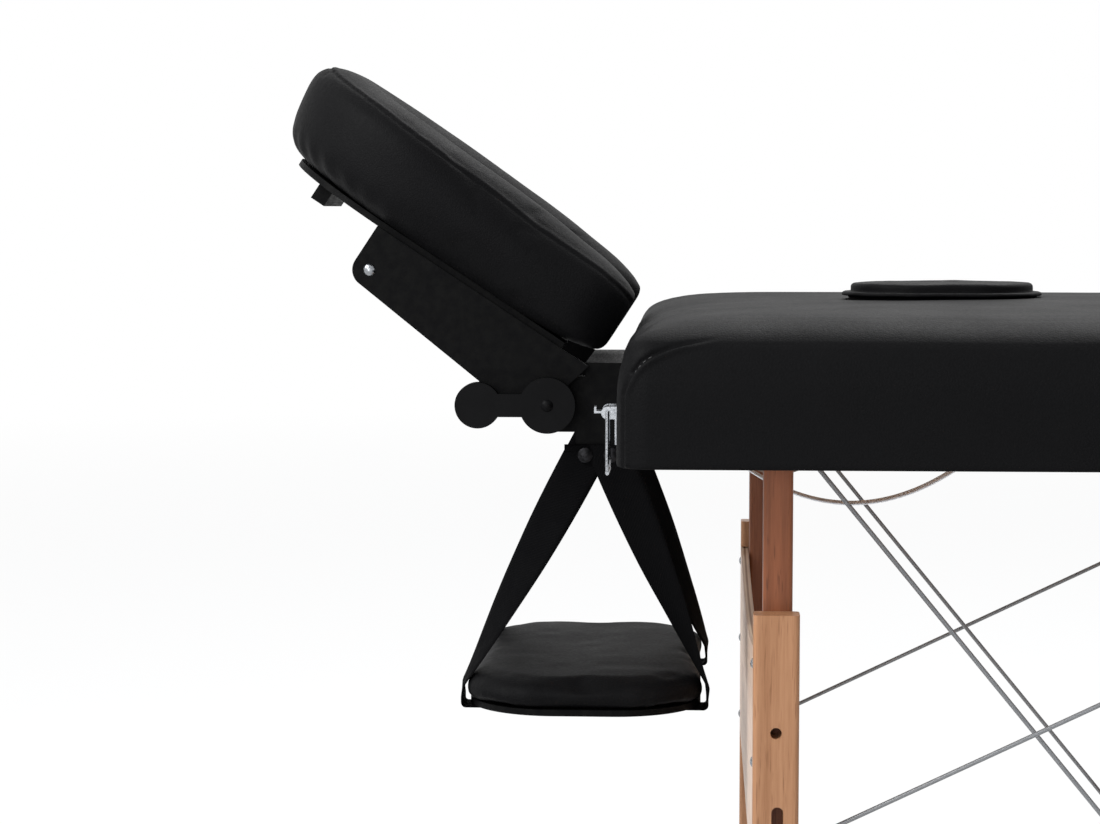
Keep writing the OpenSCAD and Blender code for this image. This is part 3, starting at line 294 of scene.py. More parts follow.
# Woven webbing: the map's first number runs across and its second along the tape, both in mm
webFacts = {
    "black": dict(pale="#0b0b0c", deep="#040405", rough=(0.72, 0.9), yarn=1.5, dust=12.0, depth=0.30, shine=0.03),
    # the grey tape's colours are painted lighter and bluer than the tape itself: painted light that offsets the shade
    # and the beech's brown bounce under the table
    "grey": dict(pale="#e9ebef", deep="#cbced4", rough=(0.75, 0.92), yarn=1.6, dust=12.0, depth=0.30, shine=0.2),
}


def makeWeb(name, facts):
    material, tree, own = newMaterial(name)
    chart = addNode(tree, "UVMap", {"uv_map": "tape"})
    across, along = addNode(tree, "SeparateXYZ", (), {0: chart}).outputs[:2]
    waves = []
    for operation, share in (("ADD", 0.5), ("SUBTRACT", 1.0)):
        slant = addNode(tree, "Math", {"operation": operation}, {0: across, 1: along})
        turn = addNode(tree, "Math", {"operation": "MULTIPLY", 1: 2 * math.pi / facts["yarn"] * share}, {0: slant})
        waves.append(addNode(tree, "Math", {"operation": "SINE"}, {0: turn}))
    weave = addNode(tree, "Math", {"operation": "ADD"}, {0: waves[0], 1: waves[1]})
    height = addNode(tree, "Math", {"operation": "MULTIPLY_ADD", 1: 0.25, 2: 0.5}, {0: weave})
    dust = addNode(tree, "TexNoise", {"Scale": perMetre(facts["dust"]), "Detail": 3.0}, {"Vector": own})
    # colour: the weave's crests are painted lighter as a painted highlight, mixed with the dust noise's random tone
    tone = addNode(tree, "Mix", {0: 0.3}, {2: height, 3: dust})
    colour = addNode(tree, "Mix", between(facts["deep"], facts["pale"]), {0: tone})
    return finishMaterial(material, facts, colour, dust, height, 0.8, {"Specular IOR Level": facts["shine"]})


# Wire rope in a grey coat: its lay, six strands that turn once in 11 mm, shows through as a slanting ripple in relief,
# with a painted highlight on each strand's crest
ropeFacts = dict(deep="#686a6c", pale="#7d7f82", rough=(0.30, 0.46), coat=0.4, lay=11.0, strands=6.0, soil=9.0,
                 depth=0.06)


# The map's first number is the share of a turn round the rope and its second the mm along it
def makeRope(name, facts):
    material, tree, own = newMaterial(name)
    chart = addNode(tree, "UVMap", {"uv_map": "tape"})
    across, along = addNode(tree, "SeparateXYZ", (), {0: chart}).outputs[:2]
    strands = addNode(tree, "Math", {"operation": "MULTIPLY", 1: facts["strands"]}, {0: across})
    lay = addNode(tree, "Math", {"operation": "MULTIPLY_ADD", 1: 1 / facts["lay"]}, {0: along, 2: strands})
    turn = addNode(tree, "Math", {"operation": "MULTIPLY", 1: 2 * math.pi}, {0: lay})
    wave = addNode(tree, "Math", {"operation": "SINE"}, {0: turn})
    strand = addNode(tree, "Math", {"operation": "MULTIPLY_ADD", 1: 0.5, 2: 0.5}, {0: wave})
    soil = addNode(tree, "TexNoise", {"Scale": perMetre(facts["soil"]), "Detail": 3.0}, {"Vector": own})
    # colour: the strands' crests are painted lighter as a painted highlight, mixed with the soil noise's random tone
    tone = addNode(tree, "Mix", {0: 0.4}, {2: strand, 3: soil})
    colour = addNode(tree, "Mix", between(facts["deep"], facts["pale"]), {0: tone})
    return finishMaterial(material, facts, colour, soil, strand, 0.4, {"Coat Weight": facts["coat"]})


# Bonded nylon thread: a twist in relief, and a soft painted glint along each stitch in its colour
threadFacts = dict(deep="#0c0c0d", pale="#2c2c2e", rough=(0.4, 0.6), twist=0.4, depth=0.1)


def makeThread(name, facts):
    material, tree, own = newMaterial(name)
    twist = addNode(tree, "TexNoise", {"Scale": perMetre(facts["twist"]), "Detail": 2.0}, {"Vector": own})
    # colour: a painted glint from the twist noise
    colour = addNode(tree, "Mix", between(facts["deep"], facts["pale"]), {0: twist})
    return finishMaterial(material, facts, colour, twist, twist, 0.6)


looks = dict(
    leather=makeLeather("embossed PVC leatherette", leather),
    postBeech=makeBeech("lacquered beech, upright grain", beechFacts["post"], 2),
    railBeech=makeBeech("lacquered beech, long grain", beechFacts["rail"], 0),
    stemBeech=makeBeech("stained beech, upright grain", beechFacts["dark"], 2),
    slatBeech=makeBeech("stained beech, slanting grain", beechFacts["dark"], 2),
    barBeech=makeBeech("stained beech, cross grain", beechFacts["dark"], 1),
    panelPly=makePly("birch plywood panel", plyFacts["panel"], 2, 0, "head_panel"),
    boardPly=makePly("beech plywood cross-board", plyFacts["board"], 0, 1, "head_leg_board"),
    hangerPly=makePly("plywood hanger plate", plyFacts["hanger"], 1, 0),
    blackPly=makeBlackPly("black stained plywood", stainFacts),
    chrome=makeMetal("chrome plated steel", metalFacts["chrome"]),
    zinc=makeMetal("zinc plated steel", metalFacts["zinc"]),
    blackSteel=makeMetal("black oxide steel", metalFacts["black"]),
    plastic=makeMould("injection moulded black plastic", mouldFacts["plastic"]),
    rubber=makeMould("moulded rubber", mouldFacts["rubber"]),
    blackWeb=makeWeb("woven polypropylene webbing", webFacts["black"]),
    greyWeb=makeWeb("woven grey webbing", webFacts["grey"]),
    rope=makeRope("coated steel wire rope", ropeFacts),
    thread=makeThread("bonded nylon thread", threadFacts),
)

# Finish of each CAD node that stays in sight, by the last words of its name
finishes = dict(
    rails="railBeech", panel="panelPly", hangers="hangerPly", sockets="railBeech", pivot_bolts="zinc",
    hinges="zinc", latch_plates="chrome", catch_plates="chrome", leg_stems="stemBeech", leg_knobs="plastic",
    leg_posts="postBeech", leg_board="boardPly", leg_bolts="chrome", leg_feet="rubber", strut_slats="slatBeech",
    strut_bar="barBeech", rest_rods="zinc", rest_cheeks="blackPly", rest_crossbar="blackPly",
    rest_fasteners="blackSteel", rest_platform="blackPly", rest_brackets="blackPly", rest_bracket_bolts="chrome",
    rest_clip="zinc", clamp_lever_near="plastic", clamp_lever_far="plastic", shelf_board="blackPly",
    latch_bail_near="chrome", latch_bail_far="chrome", latch_lever_near="chrome", latch_lever_far="chrome",
    cushion="leather", cover="leather", handle="leather", face_plug="leather", rest_pad="leather",
    shelf_pad="leather", shelf_straps="blackWeb", webbing_tie="greyWeb", leg_cables="rope", strut_cables="rope",
)
for name, node in nodes.items():
    short = name.split("_", 1)[1] if name.startswith(("head_", "foot_")) else name
    node.data.materials.clear()
    node.data.materials.append(looks[finishes[short]])


# A steady pseudo-random number from 0 to 1 for each whole lattice point
def hashed(cell, seed):
    x, y, z = cell[..., 0], cell[..., 1], cell[..., 2]
    n = (x * 374761393 + y * 668265263 + z * 2147483647 + seed * 974634777) & 0xffffffff
    n = ((n ^ (n >> 13)) * 1274126177) & 0xffffffff
    return ((n ^ (n >> 16)) & 0xffffff) / float(0xffffff)


# Smooth value noise from -1 to 1 of points in mm, with cells of size mm
def swell(points, size, seed=0):
    p = np.asarray(points, float) / size
    low = np.floor(p).astype(np.int64)
    f = p - low
    f = f * f * (3 - 2 * f)
    total = np.zeros(p.shape[:-1])
    for corner in range(8):
        step = np.array([corner & 1, corner >> 1 & 1, corner >> 2 & 1])
        share = np.prod(np.where(step, f, 1 - f), axis=-1)
        total += share * hashed(low + step, seed)
    return total * 2 - 1


# Quads of a grid of rows by columns, closed round its columns
def gridFaces(rows, columns, closed=True, first=0):
    r = np.arange(rows - 1)[:, None]
    c = np.arange(columns if closed else columns - 1)[None, :]
    d = (c + 1) % columns
    quads = np.stack([r * columns + c, r * columns + d, (r + 1) * columns + d, (r + 1) * columns + c], -1)
    return quads.reshape(-1, 4) + first


# The two flat ends of a grid of rows by columns, each over its first sides points
def endCaps(rows, columns, first=0, sides=None):
    ring = np.arange(sides or columns) + first
    return np.stack([ring[::-1], ring + (rows - 1) * columns])


# Triangles from a closed ring of indices to one hub
def fanFaces(ring, hub, flip=False):
    ring = np.asarray(ring)
    after = np.roll(ring, -1)
    hubs = np.full(len(ring), hub)
    return np.stack([after, ring, hubs] if flip else [ring, after, hubs], -1)


# Faces of a grid of rings that is closed at each end by a hub; the two hubs follow the rings' points
def hubbedFaces(rows, columns):
    ring = np.arange(columns)
    ends = [fanFaces(ring, rows * columns, True), fanFaces(ring + (rows - 1) * columns, rows * columns + 1)]
    return [gridFaces(rows, columns), np.concatenate(ends)]


# A smooth mesh from points in metres and lists of faces; chart is one pair of numbers a corner
def makeMesh(name, points, faceLists, material, body=None, chart=None, outward=True):
    mesh = bpy.data.meshes.new(name)
    points = np.asarray(points, np.float32).reshape(-1, 3)
    sizes = np.concatenate([np.full(len(f), f.shape[1]) for f in faceLists])
    loops = np.concatenate([f.ravel() for f in faceLists]).astype(np.int32)
    mesh.vertices.add(len(points))
    mesh.vertices.foreach_set("co", points.ravel())
    mesh.loops.add(len(loops))
    mesh.loops.foreach_set("vertex_index", loops)
    mesh.polygons.add(len(sizes))
    mesh.polygons.foreach_set("loop_start", (np.cumsum(sizes) - sizes).astype(np.int32))
    mesh.polygons.foreach_set("use_smooth", np.ones(len(sizes), bool))
    mesh.update(calc_edges=True)
    if chart is not None:
        layer = mesh.uv_layers.new(name="tape")
        layer.data.foreach_set("uv", np.asarray(chart, np.float32)[loops].ravel())
    if outward:
        work = bmesh.new()
        work.from_mesh(mesh)
        bmesh.ops.recalc_face_normals(work, faces=work.faces)
        work.to_mesh(mesh)
        work.free()
    mesh.materials.append(material)
    piece = bpy.data.objects.new(name, mesh)
    scene.collection.objects.link(piece)
    if body:
        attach(piece, body)
    return piece


# Unit normals of a mesh's points, weighted by face size
def normalsOf(points, faceLists):
    total = np.zeros_like(points)
    for f in faceLists:
        a, b, c = points[f[:, 0]], points[f[:, 1]], points[f[:, 2]]
        n = np.cross(b - a, c - a)
        if f.shape[1] == 4:
            n = n + np.cross(c - a, points[f[:, 3]] - a)
        for k in range(f.shape[1]):
            np.add.at(total, f[:, k], n)
    return total / np.maximum(np.linalg.norm(total, axis=1), 1e-12)[:, None]


# Distance of points to a finely cut path, and the index of its nearest point; inf beyond reach
def nearest(points, path, reach):
    low, high = path.min(0) - reach, path.max(0) + reach
    inside = np.all((points >= low) & (points <= high), axis=1)
    distance = np.full(len(points), np.inf)
    index = np.zeros(len(points), int)
    chosen = np.flatnonzero(inside)
    for part in np.array_split(chosen, max(1, len(chosen) // 4000)):
        if len(part):
            gap = np.linalg.norm(points[part][:, None, :] - path[None, :, :], axis=2)
            index[part] = gap.argmin(1)
            distance[part] = gap.min(1)
    return distance, index


# Normals turned so that the highest point's looks up
def upNormals(points, faceLists):
    normals = normalsOf(points, faceLists)
    return normals if normals[points[:, 2].argmax(), 2] > 0 else -normals


# Unit direction along a path at each of its points
def directions(path):
    run = np.gradient(path, axis=0)
    return run / np.maximum(np.linalg.norm(run, axis=1), 1e-9)[:, None]


# Length along a path up to each of its points
def lengths(path):
    return np.concatenate([[0], np.cumsum(np.linalg.norm(np.diff(path, axis=0), axis=1))])


# Points along a polyline at an even pitch
def resample(path, pitch):
    path = np.asarray(path, float)
    run = lengths(path)
    at = np.arange(0, run[-1], pitch)
    return np.stack([np.interp(at, run, path[:, k]) for k in range(path.shape[1])], -1)


# A unit circle across each direction, at these angles, begun square to the axis
def hoops(run, axis, angle):
    side = np.cross(run, np.array(axis))
    side /= np.linalg.norm(side, axis=1)[:, None]
    up = np.cross(run, side)
    return side[:, None, :] * np.cos(angle)[None, :, None] + up[:, None, :] * np.sin(angle)[None, :, None]


# One mesh of many small stitches: each a tube from start to end, swollen in its middle and closed
def capsules(starts, ends, radius, sides=6):
    share = np.array([0.0, 0.12, 0.5, 0.88, 1.0])
    girth = np.array([0.35, 0.85, 1.0, 0.85, 0.35]) * radius
    run = ends - starts
    run /= np.linalg.norm(run, axis=1)[:, None]
    ring = hoops(run, (0.31, 0.17, 0.93), np.arange(sides) * 2 * math.pi / sides)
    middle = starts[:, None, :] + (ends - starts)[:, None, :] * share[None, :, None]
    points = middle[:, :, None, :] + ring[:, None, :, :] * girth[None, :, None, None]
    faces, caps = gridFaces(len(share), sides), endCaps(len(share), sides)
    shift = (np.arange(len(starts)) * len(share) * sides)[:, None, None]
    return points.reshape(-1, 3), [(faces[None] + shift).reshape(-1, 4), (caps[None] + shift).reshape(-1, sides)]


# Tubes of one radius along lists of points, with flat ends and a map of turn and run
def tubeAlong(paths, radius, sides=10):
    points, faces, caps, chart, first = [], [], [], [], 0
    angle = np.arange(sides + 1) * 2 * math.pi / sides
    for path in paths:
        ring = hoops(directions(path), (0.0, 1.0, 0.02), -angle)
        points.append((path[:, None] + ring * radius).reshape(-1, 3))
        turn, run = np.broadcast_arrays((angle / 2 / math.pi)[None, :], lengths(path)[:, None])
        chart.append(np.stack([turn, run], -1).reshape(-1, 2))
        faces.append(gridFaces(len(path), sides + 1, False, first))
        caps.append(endCaps(len(path), sides + 1, first, sides))
        first += len(path) * (sides + 1)
    return np.concatenate(points), [np.concatenate(faces), np.concatenate(caps)], np.concatenate(chart)


# A flat tape along a path, with rounded selvedges, waved off it by wave mm, and a map of across and along in mm
def tapeAlong(middle, across, face, wide, thick, wave=0.0, first=0):
    u = np.linspace(-1, 1, 9)
    skin = np.sqrt(np.maximum(1 - u ** 8, 0.05)) * thick / 2
    section = np.concatenate([np.stack([u * wide / 2, skin], -1), np.stack([u * wide / 2, -skin], -1)[::-1]])
    ring = (middle + face * np.reshape(wave, (-1, 1)))[:, None] + across[:, None] * section[None, :, :1]
    ring = ring + face[:, None] * section[None, :, 1:]
    rows, columns = ring.shape[:2]
    chart = np.stack(np.broadcast_arrays(section[None, :, 0], lengths(middle)[:, None]), -1).reshape(-1, 2)
    return ring.reshape(-1, 3), [gridFaces(rows, columns, True, first), endCaps(rows, columns, first)], chart


# Points in mm and quads of a mesh
def readMesh(mesh):
    points = np.empty(len(mesh.vertices) * 3)
    mesh.vertices.foreach_get("co", points)
    faces = np.empty(len(mesh.loops), np.int32)
    mesh.loops.foreach_get("vertex_index", faces)
    return points.reshape(-1, 3) / mm, faces.reshape(-1, 4)


# Replaces a piece's mesh by what its modifiers make of it
def applied(piece):
    graph = bpy.context.evaluated_depsgraph_get()
    mesh = bpy.data.meshes.new_from_object(piece.evaluated_get(graph))
    piece.modifiers.clear()
    piece.data = mesh


# A closed form in mm, remeshed and blown up as cloth for 20 frames, each point kept within cap mm of its start
def settle(name, points, faces, voxel, cap, pressure):
    piece = makeMesh(name, np.asarray(points) * mm, faces, looks["leather"])
    skin = piece.modifiers.new("even skin", "REMESH")
    skin.mode = "VOXEL"
    skin.voxel_size = voxel * mm
    applied(piece)
    start, quads = readMesh(piece.data)
    cloth = piece.modifiers.new("swell", "CLOTH")
    cloth.settings.use_pressure = True
    cloth.settings.uniform_pressure_force = pressure
    cloth.settings.effector_weights.gravity = 0.0
    cloth.settings.quality = 5
    cloth.point_cache.frame_start, cloth.point_cache.frame_end = 1, 20
    for step in range(1, 21):
        scene.frame_set(step)
    applied(piece)
    after, quads = readMesh(piece.data)
    move = after - start
    far = np.linalg.norm(move, axis=1)[:, None]
    after = start + move * np.minimum(1.0, cap / np.maximum(far, 1e-9))
    piece.data.vertices.foreach_set("co", (after * mm).astype(np.float32).ravel())
    scene.frame_set(1)
    print("settled", name, "moved", round(float(far.max()), 1), "mm before the cap")
    finer = piece.modifiers.new("finer", "SUBSURF")
    finer.levels = finer.render_levels = 1
    applied(piece)
    result = readMesh(piece.data)
    bpy.data.objects.remove(piece)
    return result


# The line on a surface along a path: each point is the mean of the vertices round it, the near ones counting most
def onSurface(points, path):
    close = points[nearest(points, path, 14.0)[0] < 14.0]
    found = []
    for part in np.array_split(path, max(1, len(path) // 20)):
        square = ((part[:, None] - close[None]) ** 2).sum(2)
        weight = np.exp(-(square - square.min(1)[:, None]) / 8.0)
        found.append(weight @ close / weight.sum(1)[:, None])
    padded = np.pad(np.concatenate(found), ((4, 4), (0, 0)), mode="edge")
    return np.stack([np.convolve(padded[:, k], np.ones(9) / 9, mode="valid") for k in range(3)], -1)


# Six steel ropes a leaf, each a straight taut line: four to its strut and two to its legs
cables = dict(radius=1.8, steps=60, slack=0.03, anchors=(95.0, 800.0), top=648.2, strutFoot=(445.0, 222.0),
              strutAt=215.0, strutShift=12.0, strutOut=8 + 1.8 + 0.3,
              legAnchor=850.0, legFoot=(125.7, 297.0), legAt=289.0, legShift=15.0, legIn=33.1)


# Points along the straight line from a to b, evenly apart
def straight(a, b, steps):
    share = np.linspace(0, 1, steps)[:, None]
    return np.asarray(a, float) * (1 - share) + np.asarray(b, float) * share


# Ropes as round tubes along straight lines, from the panel's underside to the strut and to the legs
def buildRopes(end, sign):
    f = cables
    toStrut, toLegs = [], []
    for side in (-1, 1):
        y = side * f["strutAt"] - sign * f["strutShift"] + side * f["strutOut"]
        foot = (f["strutFoot"][0], y, f["strutFoot"][1])
        toStrut += [straight((anchor, y, f["top"]), foot, f["steps"]) for anchor in f["anchors"]]
        y = side * f["legAt"] - sign * f["legShift"] - side * f["legIn"]
        toLegs.append(straight((f["legAnchor"], y, f["top"]), (f["legFoot"][0], y, f["legFoot"][1]), f["steps"]))
    for name, old, paths in (("StrutRopes", "_strut_cables", toStrut), ("LegRopes", "_leg_cables", toLegs)):
        points, faces, chart = tubeAlong(paths, f["radius"])
        piece = makeMesh(end + name, atLeaf(end, points), faces, looks["rope"], end + "_leaf", chart)
        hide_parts(end + old)
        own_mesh(piece)


buildRopes("head", 1)
buildRopes("foot", -1)


print("stage: leaf upholstery")
# Inset and height of the vinyl's section, measured on the photograph's head end, in mm
profileInset = np.array([0, 0.25, 0.7, 2.3, 4.5, 7.5, 11.5, 17, 24, 33, 45, 60, 80, 105, 140, 200, 345.0])
profileHeight = np.array([640, 646, 652, 662, 670, 676.5, 681.5, 685.3, 688.7, 691.7, 694.5, 696.8, 698.4, 699.5,
                          700.3, 701.6, 704.0])
leafFacts = dict(cornerR=24.0, tighten=0.62, fine=1.6, fineReach=60.0, wideSteps=22, rings=30, hemIn=14.0, roll=4.0,
                 swellSize=95.0, swell=0.55, rippleSize=38.0, ripple=0.25, foldSize=21.0, foldReach=55.0, fold=0.5,
                 creaseDepth=1.5, creaseWide=6.0, creaseFrom=668.0, firmTo=658.0, hemTo=592.0, clear=1.8,
                 grooveDeep=2.6, grooveWide=1.7, lipHigh=1.7, lipAt=3.6, lipWide=2.3,
                 stitchPitch=5.0, stitchLong=3.3, stitchR=0.42)


# The section's height at an inset, and the inset at a height, straight between the measured pairs
def heightAt(inset):
    return np.interp(inset, profileInset, profileHeight)


def insetAt(height):
    return np.interp(height, profileHeight, profileInset)


# Distances along one straight side: 1.6 mm apart near both corners and widening to the middle
def sideSteps(length, r):
    half, reach, count = length / 2 - r, leafFacts["fineReach"], leafFacts["wideSteps"]
    wide = reach + (half - reach) * (np.arange(count + 1) / count) ** 1.35
    near = np.concatenate([np.arange(0, reach, leafFacts["fine"]), wide])
    near = np.concatenate([near, (2 * half - near[:-1])[::-1]])
    return near[1:-1] / (2 * half)


# Points of a rounded rectangle's corner c, of four, at these angles
def cornerPoints(length, width, r, c, angle):
    x, y = ((1, 1), (-1, 1), (-1, -1), (1, -1))[c % 4]
    return np.stack([x * (length / 2 - r) + r * np.cos(angle), y * (width / 2 - r) + r * np.sin(angle)], -1)


# Rounded rectangle round its middle: quarter turns, then straight sides at graded shares
def outline(length, width, r, cornerCount=30):
    points = []
    for c in range(4):
        turn = np.radians(90 * c + 90 * np.arange(cornerCount + 1) / cornerCount)
        corner = cornerPoints(length, width, r, c, turn)
        goal = cornerPoints(length, width, r, c + 1, turn[-1])
        share = sideSteps(place["leafLong"] if c in (0, 2) else place["wide"], leafFacts["cornerR"])
        points += [corner, corner[-1] + (goal - corner[-1]) * share[:, None]]
    return np.concatenate(points)


# The corner's radius shrinks with the inset, down to 6 mm
def cornerRadius(inset):
    return np.maximum(leafFacts["cornerR"] - leafFacts["tighten"] * inset, 6.0)


# One ring of the leaf at an inset, in leaf points
def leafRing(inset, z):
    r = cornerRadius(inset)
    flat = outline(place["leafLong"] - 2 * inset, place["wide"] - 2 * inset, r)
    flat[:, 0] += place["leafLong"] / 2
    return np.column_stack([flat, np.full(len(flat), z)])


# Height over the top: the section at the soft least of the distances to the four sides
def topHeight(flat):
    x, y = flat[:, 0], flat[:, 1]
    blur = 10.0
    sides = np.stack([x, place["leafLong"] - x, place["wide"] / 2 - y, place["wide"] / 2 + y])
    least = sides.min(0)
    soft = least - blur * np.log(np.exp(-(sides - least) / blur).sum(0))
    return heightAt(np.maximum(soft, 0))


# One ring of the leaf's top, from its points as seen from above
def topRing(flat, drop=0.0):
    return np.column_stack([flat, topHeight(flat) - drop])


# Point of the face hole's stadium in each direction from its middle
def holeRim(angles, grow=0.0):
    r = place["holeWide"] / 2 + grow
    half = (place["holeLong"] - place["holeWide"]) / 2
    c, s = np.cos(angles), np.sin(angles)
    flat = r / np.maximum(np.abs(s), 1e-9)
    onFlat = np.abs(flat * c) <= half
    # round ends: the root of |d(c, s) - (half, 0)| = r
    reach = half * np.abs(c) + np.sqrt(np.maximum(r * r - (half * s) ** 2, 0))
    d = np.where(onFlat, flat, reach)
    return np.stack([place["holeAt"] + d * c, d * s], -1)


# The near head corner's seam in leaf points: up the bend of the corner, then back along the shoulder
def cornerSeam():
    steps = np.array([(5.5, 591.5), (5.5, 600), (5.5, 643), (6.0, 645.6), (6.8, 648), (8.6, 652.6), (12.6, 660.6),
                      (18.7, 667.7), (26.7, 672.7), (38.7, 677.2), (50, 679.8), (62, 681.6), (74, 682.9)])
    steps = resample(steps, 0.5)
    t, z = steps[:, 0], steps[:, 1]
    inset = np.where(z < 640, 0.0, insetAt(z))
    r = cornerRadius(inset)
    dt = np.clip(inset + r - t, 0, r)
    y = -(place["wide"] / 2 - inset - r) - np.sqrt(np.maximum(r * r - dt * dt, 0))
    return np.column_stack([t, y, z])


# The cover: rings of the section round the leaf, then moved along their normals by swell, folds, creases and seams
def buildLeaf(end):
    f = leafFacts
    wall = [(f["hemIn"], 589.7), (8.0, 589.4), (2.4, 589.5), (0.5, 590.2), (0.0, 592.0)]
    wall += [(0.0, z) for z in np.linspace(594.5, 640, 20)]
    crest = [682.2, 683.4, 684.6, 686, 687.5, 689, 690.5, 692, 693.3, 694.5]
    shoulder = np.concatenate([np.linspace(641.6, 681, 30), crest])
    rows = wall + [(insetAt(z), z) for z in shoulder]
    rings = [leafRing(inset, z) for inset, z in rows]
    rings += [topRing(leafRing(inset, 0)[:, :2]) for inset in (49, 54, 60, 66, 73, 81, 90)]
    # above the wall the section passes softly into the height over the top
    above = len(wall)
    for ring, (inset, z) in zip(rings[above:], rows[above:]):
        blend = np.clip((inset - 14) / 26, 0, 1)
        ring[:, 2] = ring[:, 2] * (1 - blend) + topHeight(ring) * blend
    last = rings[-1]
    columns = len(last)
    if end == "head":
        angles = np.arctan2(last[:, 1], last[:, 0] - place["holeAt"])
        rim = holeRim(angles)
        shares = np.concatenate([np.linspace(0, 1, f["rings"])[1:-1] ** 0.85, [0.985]])
        rings += [topRing(last[:, :2] * (1 - share) + rim * share) for share in shares]
        # the cover turns down over a small roll into the hole's padded wall
        roll = f["roll"]
        for angle in np.radians([25, 50, 75, 90]):
            rings.append(topRing(holeRim(angles, roll - roll * math.sin(angle)), roll * (1 - math.cos(angle))))
        rings += [np.column_stack([rim, np.full(columns, z)]) for z in (690.0, 680.0, 670.0, 662.0, 656.0)]
        points = np.concatenate(rings)
        faces = [gridFaces(len(rings), columns)]
    else:
        middle = np.array([place["leafLong"] / 2, 0.0])
        shares = np.linspace(0, 1, f["rings"])[1:-1]
        rings += [topRing(last[:, :2] * (1 - share) + middle * share) for share in shares]
        points = np.concatenate(rings + [[[middle[0], 0, place["top"] + place["crown"]]]])
        hub = len(rings) * columns
        faces = [gridFaces(len(rings), columns), fanFaces(np.arange(hub - columns, hub), hub)]
    # leaf space is left-handed on the foot leaf, so its faces turn round there: recalculated outward later
    normals = normalsOf(points, faces)
    if normals[columns * 15, 1] * points[columns * 15, 1] < 0:
        normals = -normals
    rise = np.clip((points[:, 2] - 600) / 60, 0.15, 1)
    move = f["swell"] * swell(points, f["swellSize"], 3) * rise
    move += f["ripple"] * swell(points, f["rippleSize"], 5) * rise
    # gathered corners: small folds that fan out over each corner's shoulder
    cornerX = np.minimum(points[:, 0], place["leafLong"] - points[:, 0])
    cornerY = place["wide"] / 2 - np.abs(points[:, 1])
    near = np.exp(-(cornerX ** 2 + cornerY ** 2) / f["foldReach"] ** 2)
    near *= np.clip((points[:, 2] - 630) / 30, 0, 1)
    move += f["fold"] * near * swell(points, f["foldSize"], 9)
    # the long soft crease across the end's roll; the foot leaf has two, each half as deep
    crease = resample(np.array([(6, 20), (11, 40), (15, 85), (19, 130), (33, 194), (47, 258), (60, 300)], float), 2.0)
    flat = np.column_stack([points[:, 0], points[:, 1] + place["wide"] / 2])
    sides = [flat] if end == "head" else [flat, np.array([place["leafLong"], place["wide"]]) - flat]
    for side in sides:
        gap, index = nearest(side, crease, 30.0)
        fade = np.sin(math.pi * np.clip(index / len(crease), 0, 1)) ** 0.6
        fade *= f["creaseDepth"] / len(sides) * (points[:, 2] > f["creaseFrom"])
        move -= fade * np.exp(-(gap / f["creaseWide"]) ** 2)
        move += 0.5 * fade * np.exp(-((gap - 13) / 7) ** 2)
    # the four corner seams: a groove, and beside it the lip of the panel that laps over
    seam = cornerSeam()
    stitchFrom, stitchTo = [], []
    for turnT, turnY in ((1, 1), (1, -1), (-1, 1), (-1, -1)):
        path = seam * np.array([turnT, turnY, 1])
        path[:, 0] += place["leafLong"] * (turnT < 0)
        gap, index = nearest(points, path, 9.0)
        run = np.gradient(path, axis=0)[index]
        side = np.einsum("ij,ij->i", np.cross(normals, run), points - path[index]) * turnT * turnY
        fade = np.clip((len(path) - index) / 70.0, 0, 1)
        move -= fade * f["grooveDeep"] * np.exp(-(gap / f["grooveWide"]) ** 2)
        move += fade * f["lipHigh"] * (side < 0) * np.exp(-((gap - f["lipAt"]) / f["lipWide"]) ** 2)
        # the seam has two points a mm, and its stitches run up the bend only
        at = np.arange(6, int(len(path) * 0.62), int(f["stitchPitch"] * 2))
        stitchFrom.append(path[at])
        stitchTo.append(path[at + int(f["stitchLong"] * 2)])
    # below the foam the cover keeps clear of the boards that it is pulled over
    firm = points[:, 2] < f["firmTo"]
    move[firm] = np.maximum(move[firm], insetAt(np.clip(points[firm, 2], 640, 700)) - f["clear"])
    hem = points[:, 2] < f["hemTo"]
    move[hem] = np.minimum(move[hem], 0.2) * 0.2
    moved = points + normals * move[:, None]
    cover = makeMesh(end + "Upholstery", atLeaf(end, moved), faces, looks["leather"], end + "_leaf")
    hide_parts(end + "_cushion", end + "_cover")
    a, b = np.concatenate(stitchFrom), np.concatenate(stitchTo)
    # the row of stitches runs 2 mm beside the seam on the side panel, 0.9 mm proud of it
    off = np.column_stack([np.where(a[:, 0] < place["leafLong"] / 2, 2.0, -2.0), np.sign(a[:, 1]) * 0.9, 0 * a[:, 0]])
    stitchPoints, stitchFaces = capsules(a + off, b + off, f["stitchR"])
    stitches = makeMesh(end + "SeamStitches", atLeaf(end, stitchPoints), stitchFaces, looks["thread"], end + "_leaf")


for end in ("head", "foot"):
    buildLeaf(end)


print("stage: face plug, pads and straps")
# Lower lip disc that rests on the top, and a raised padded disc with a soft edge
plugFacts = dict(top=716.0, edge=4.2, columns=144)


# Even points round the plug's outline, grown by this many mm
def stadium(grow, columns):
    r = place["holeWide"] / 2 + grow
    half = (place["holeLong"] - place["holeWide"]) / 2
    turn = math.pi * r
    total = 2 * turn + 4 * half
    s = np.arange(columns) / columns * total
    x, y = np.empty(columns), np.empty(columns)
    a = s < turn
    angle = s / r - math.pi / 2
    x[a], y[a] = half + r * np.cos(angle[a]), r * np.sin(angle[a])
    b = (s >= turn) & (s < turn + 2 * half)
    x[b], y[b] = half - (s[b] - turn), r
    c = (s >= turn + 2 * half) & (s < 2 * turn + 2 * half)
    angle = (s - turn - 2 * half) / r + math.pi / 2
    x[c], y[c] = -half + r * np.cos(angle[c]), r * np.sin(angle[c])
    d = s >= 2 * turn + 2 * half
    x[d], y[d] = -half + (s[d] - 2 * turn - 2 * half), -r
    return np.column_stack([place["holeAt"] + x, y])


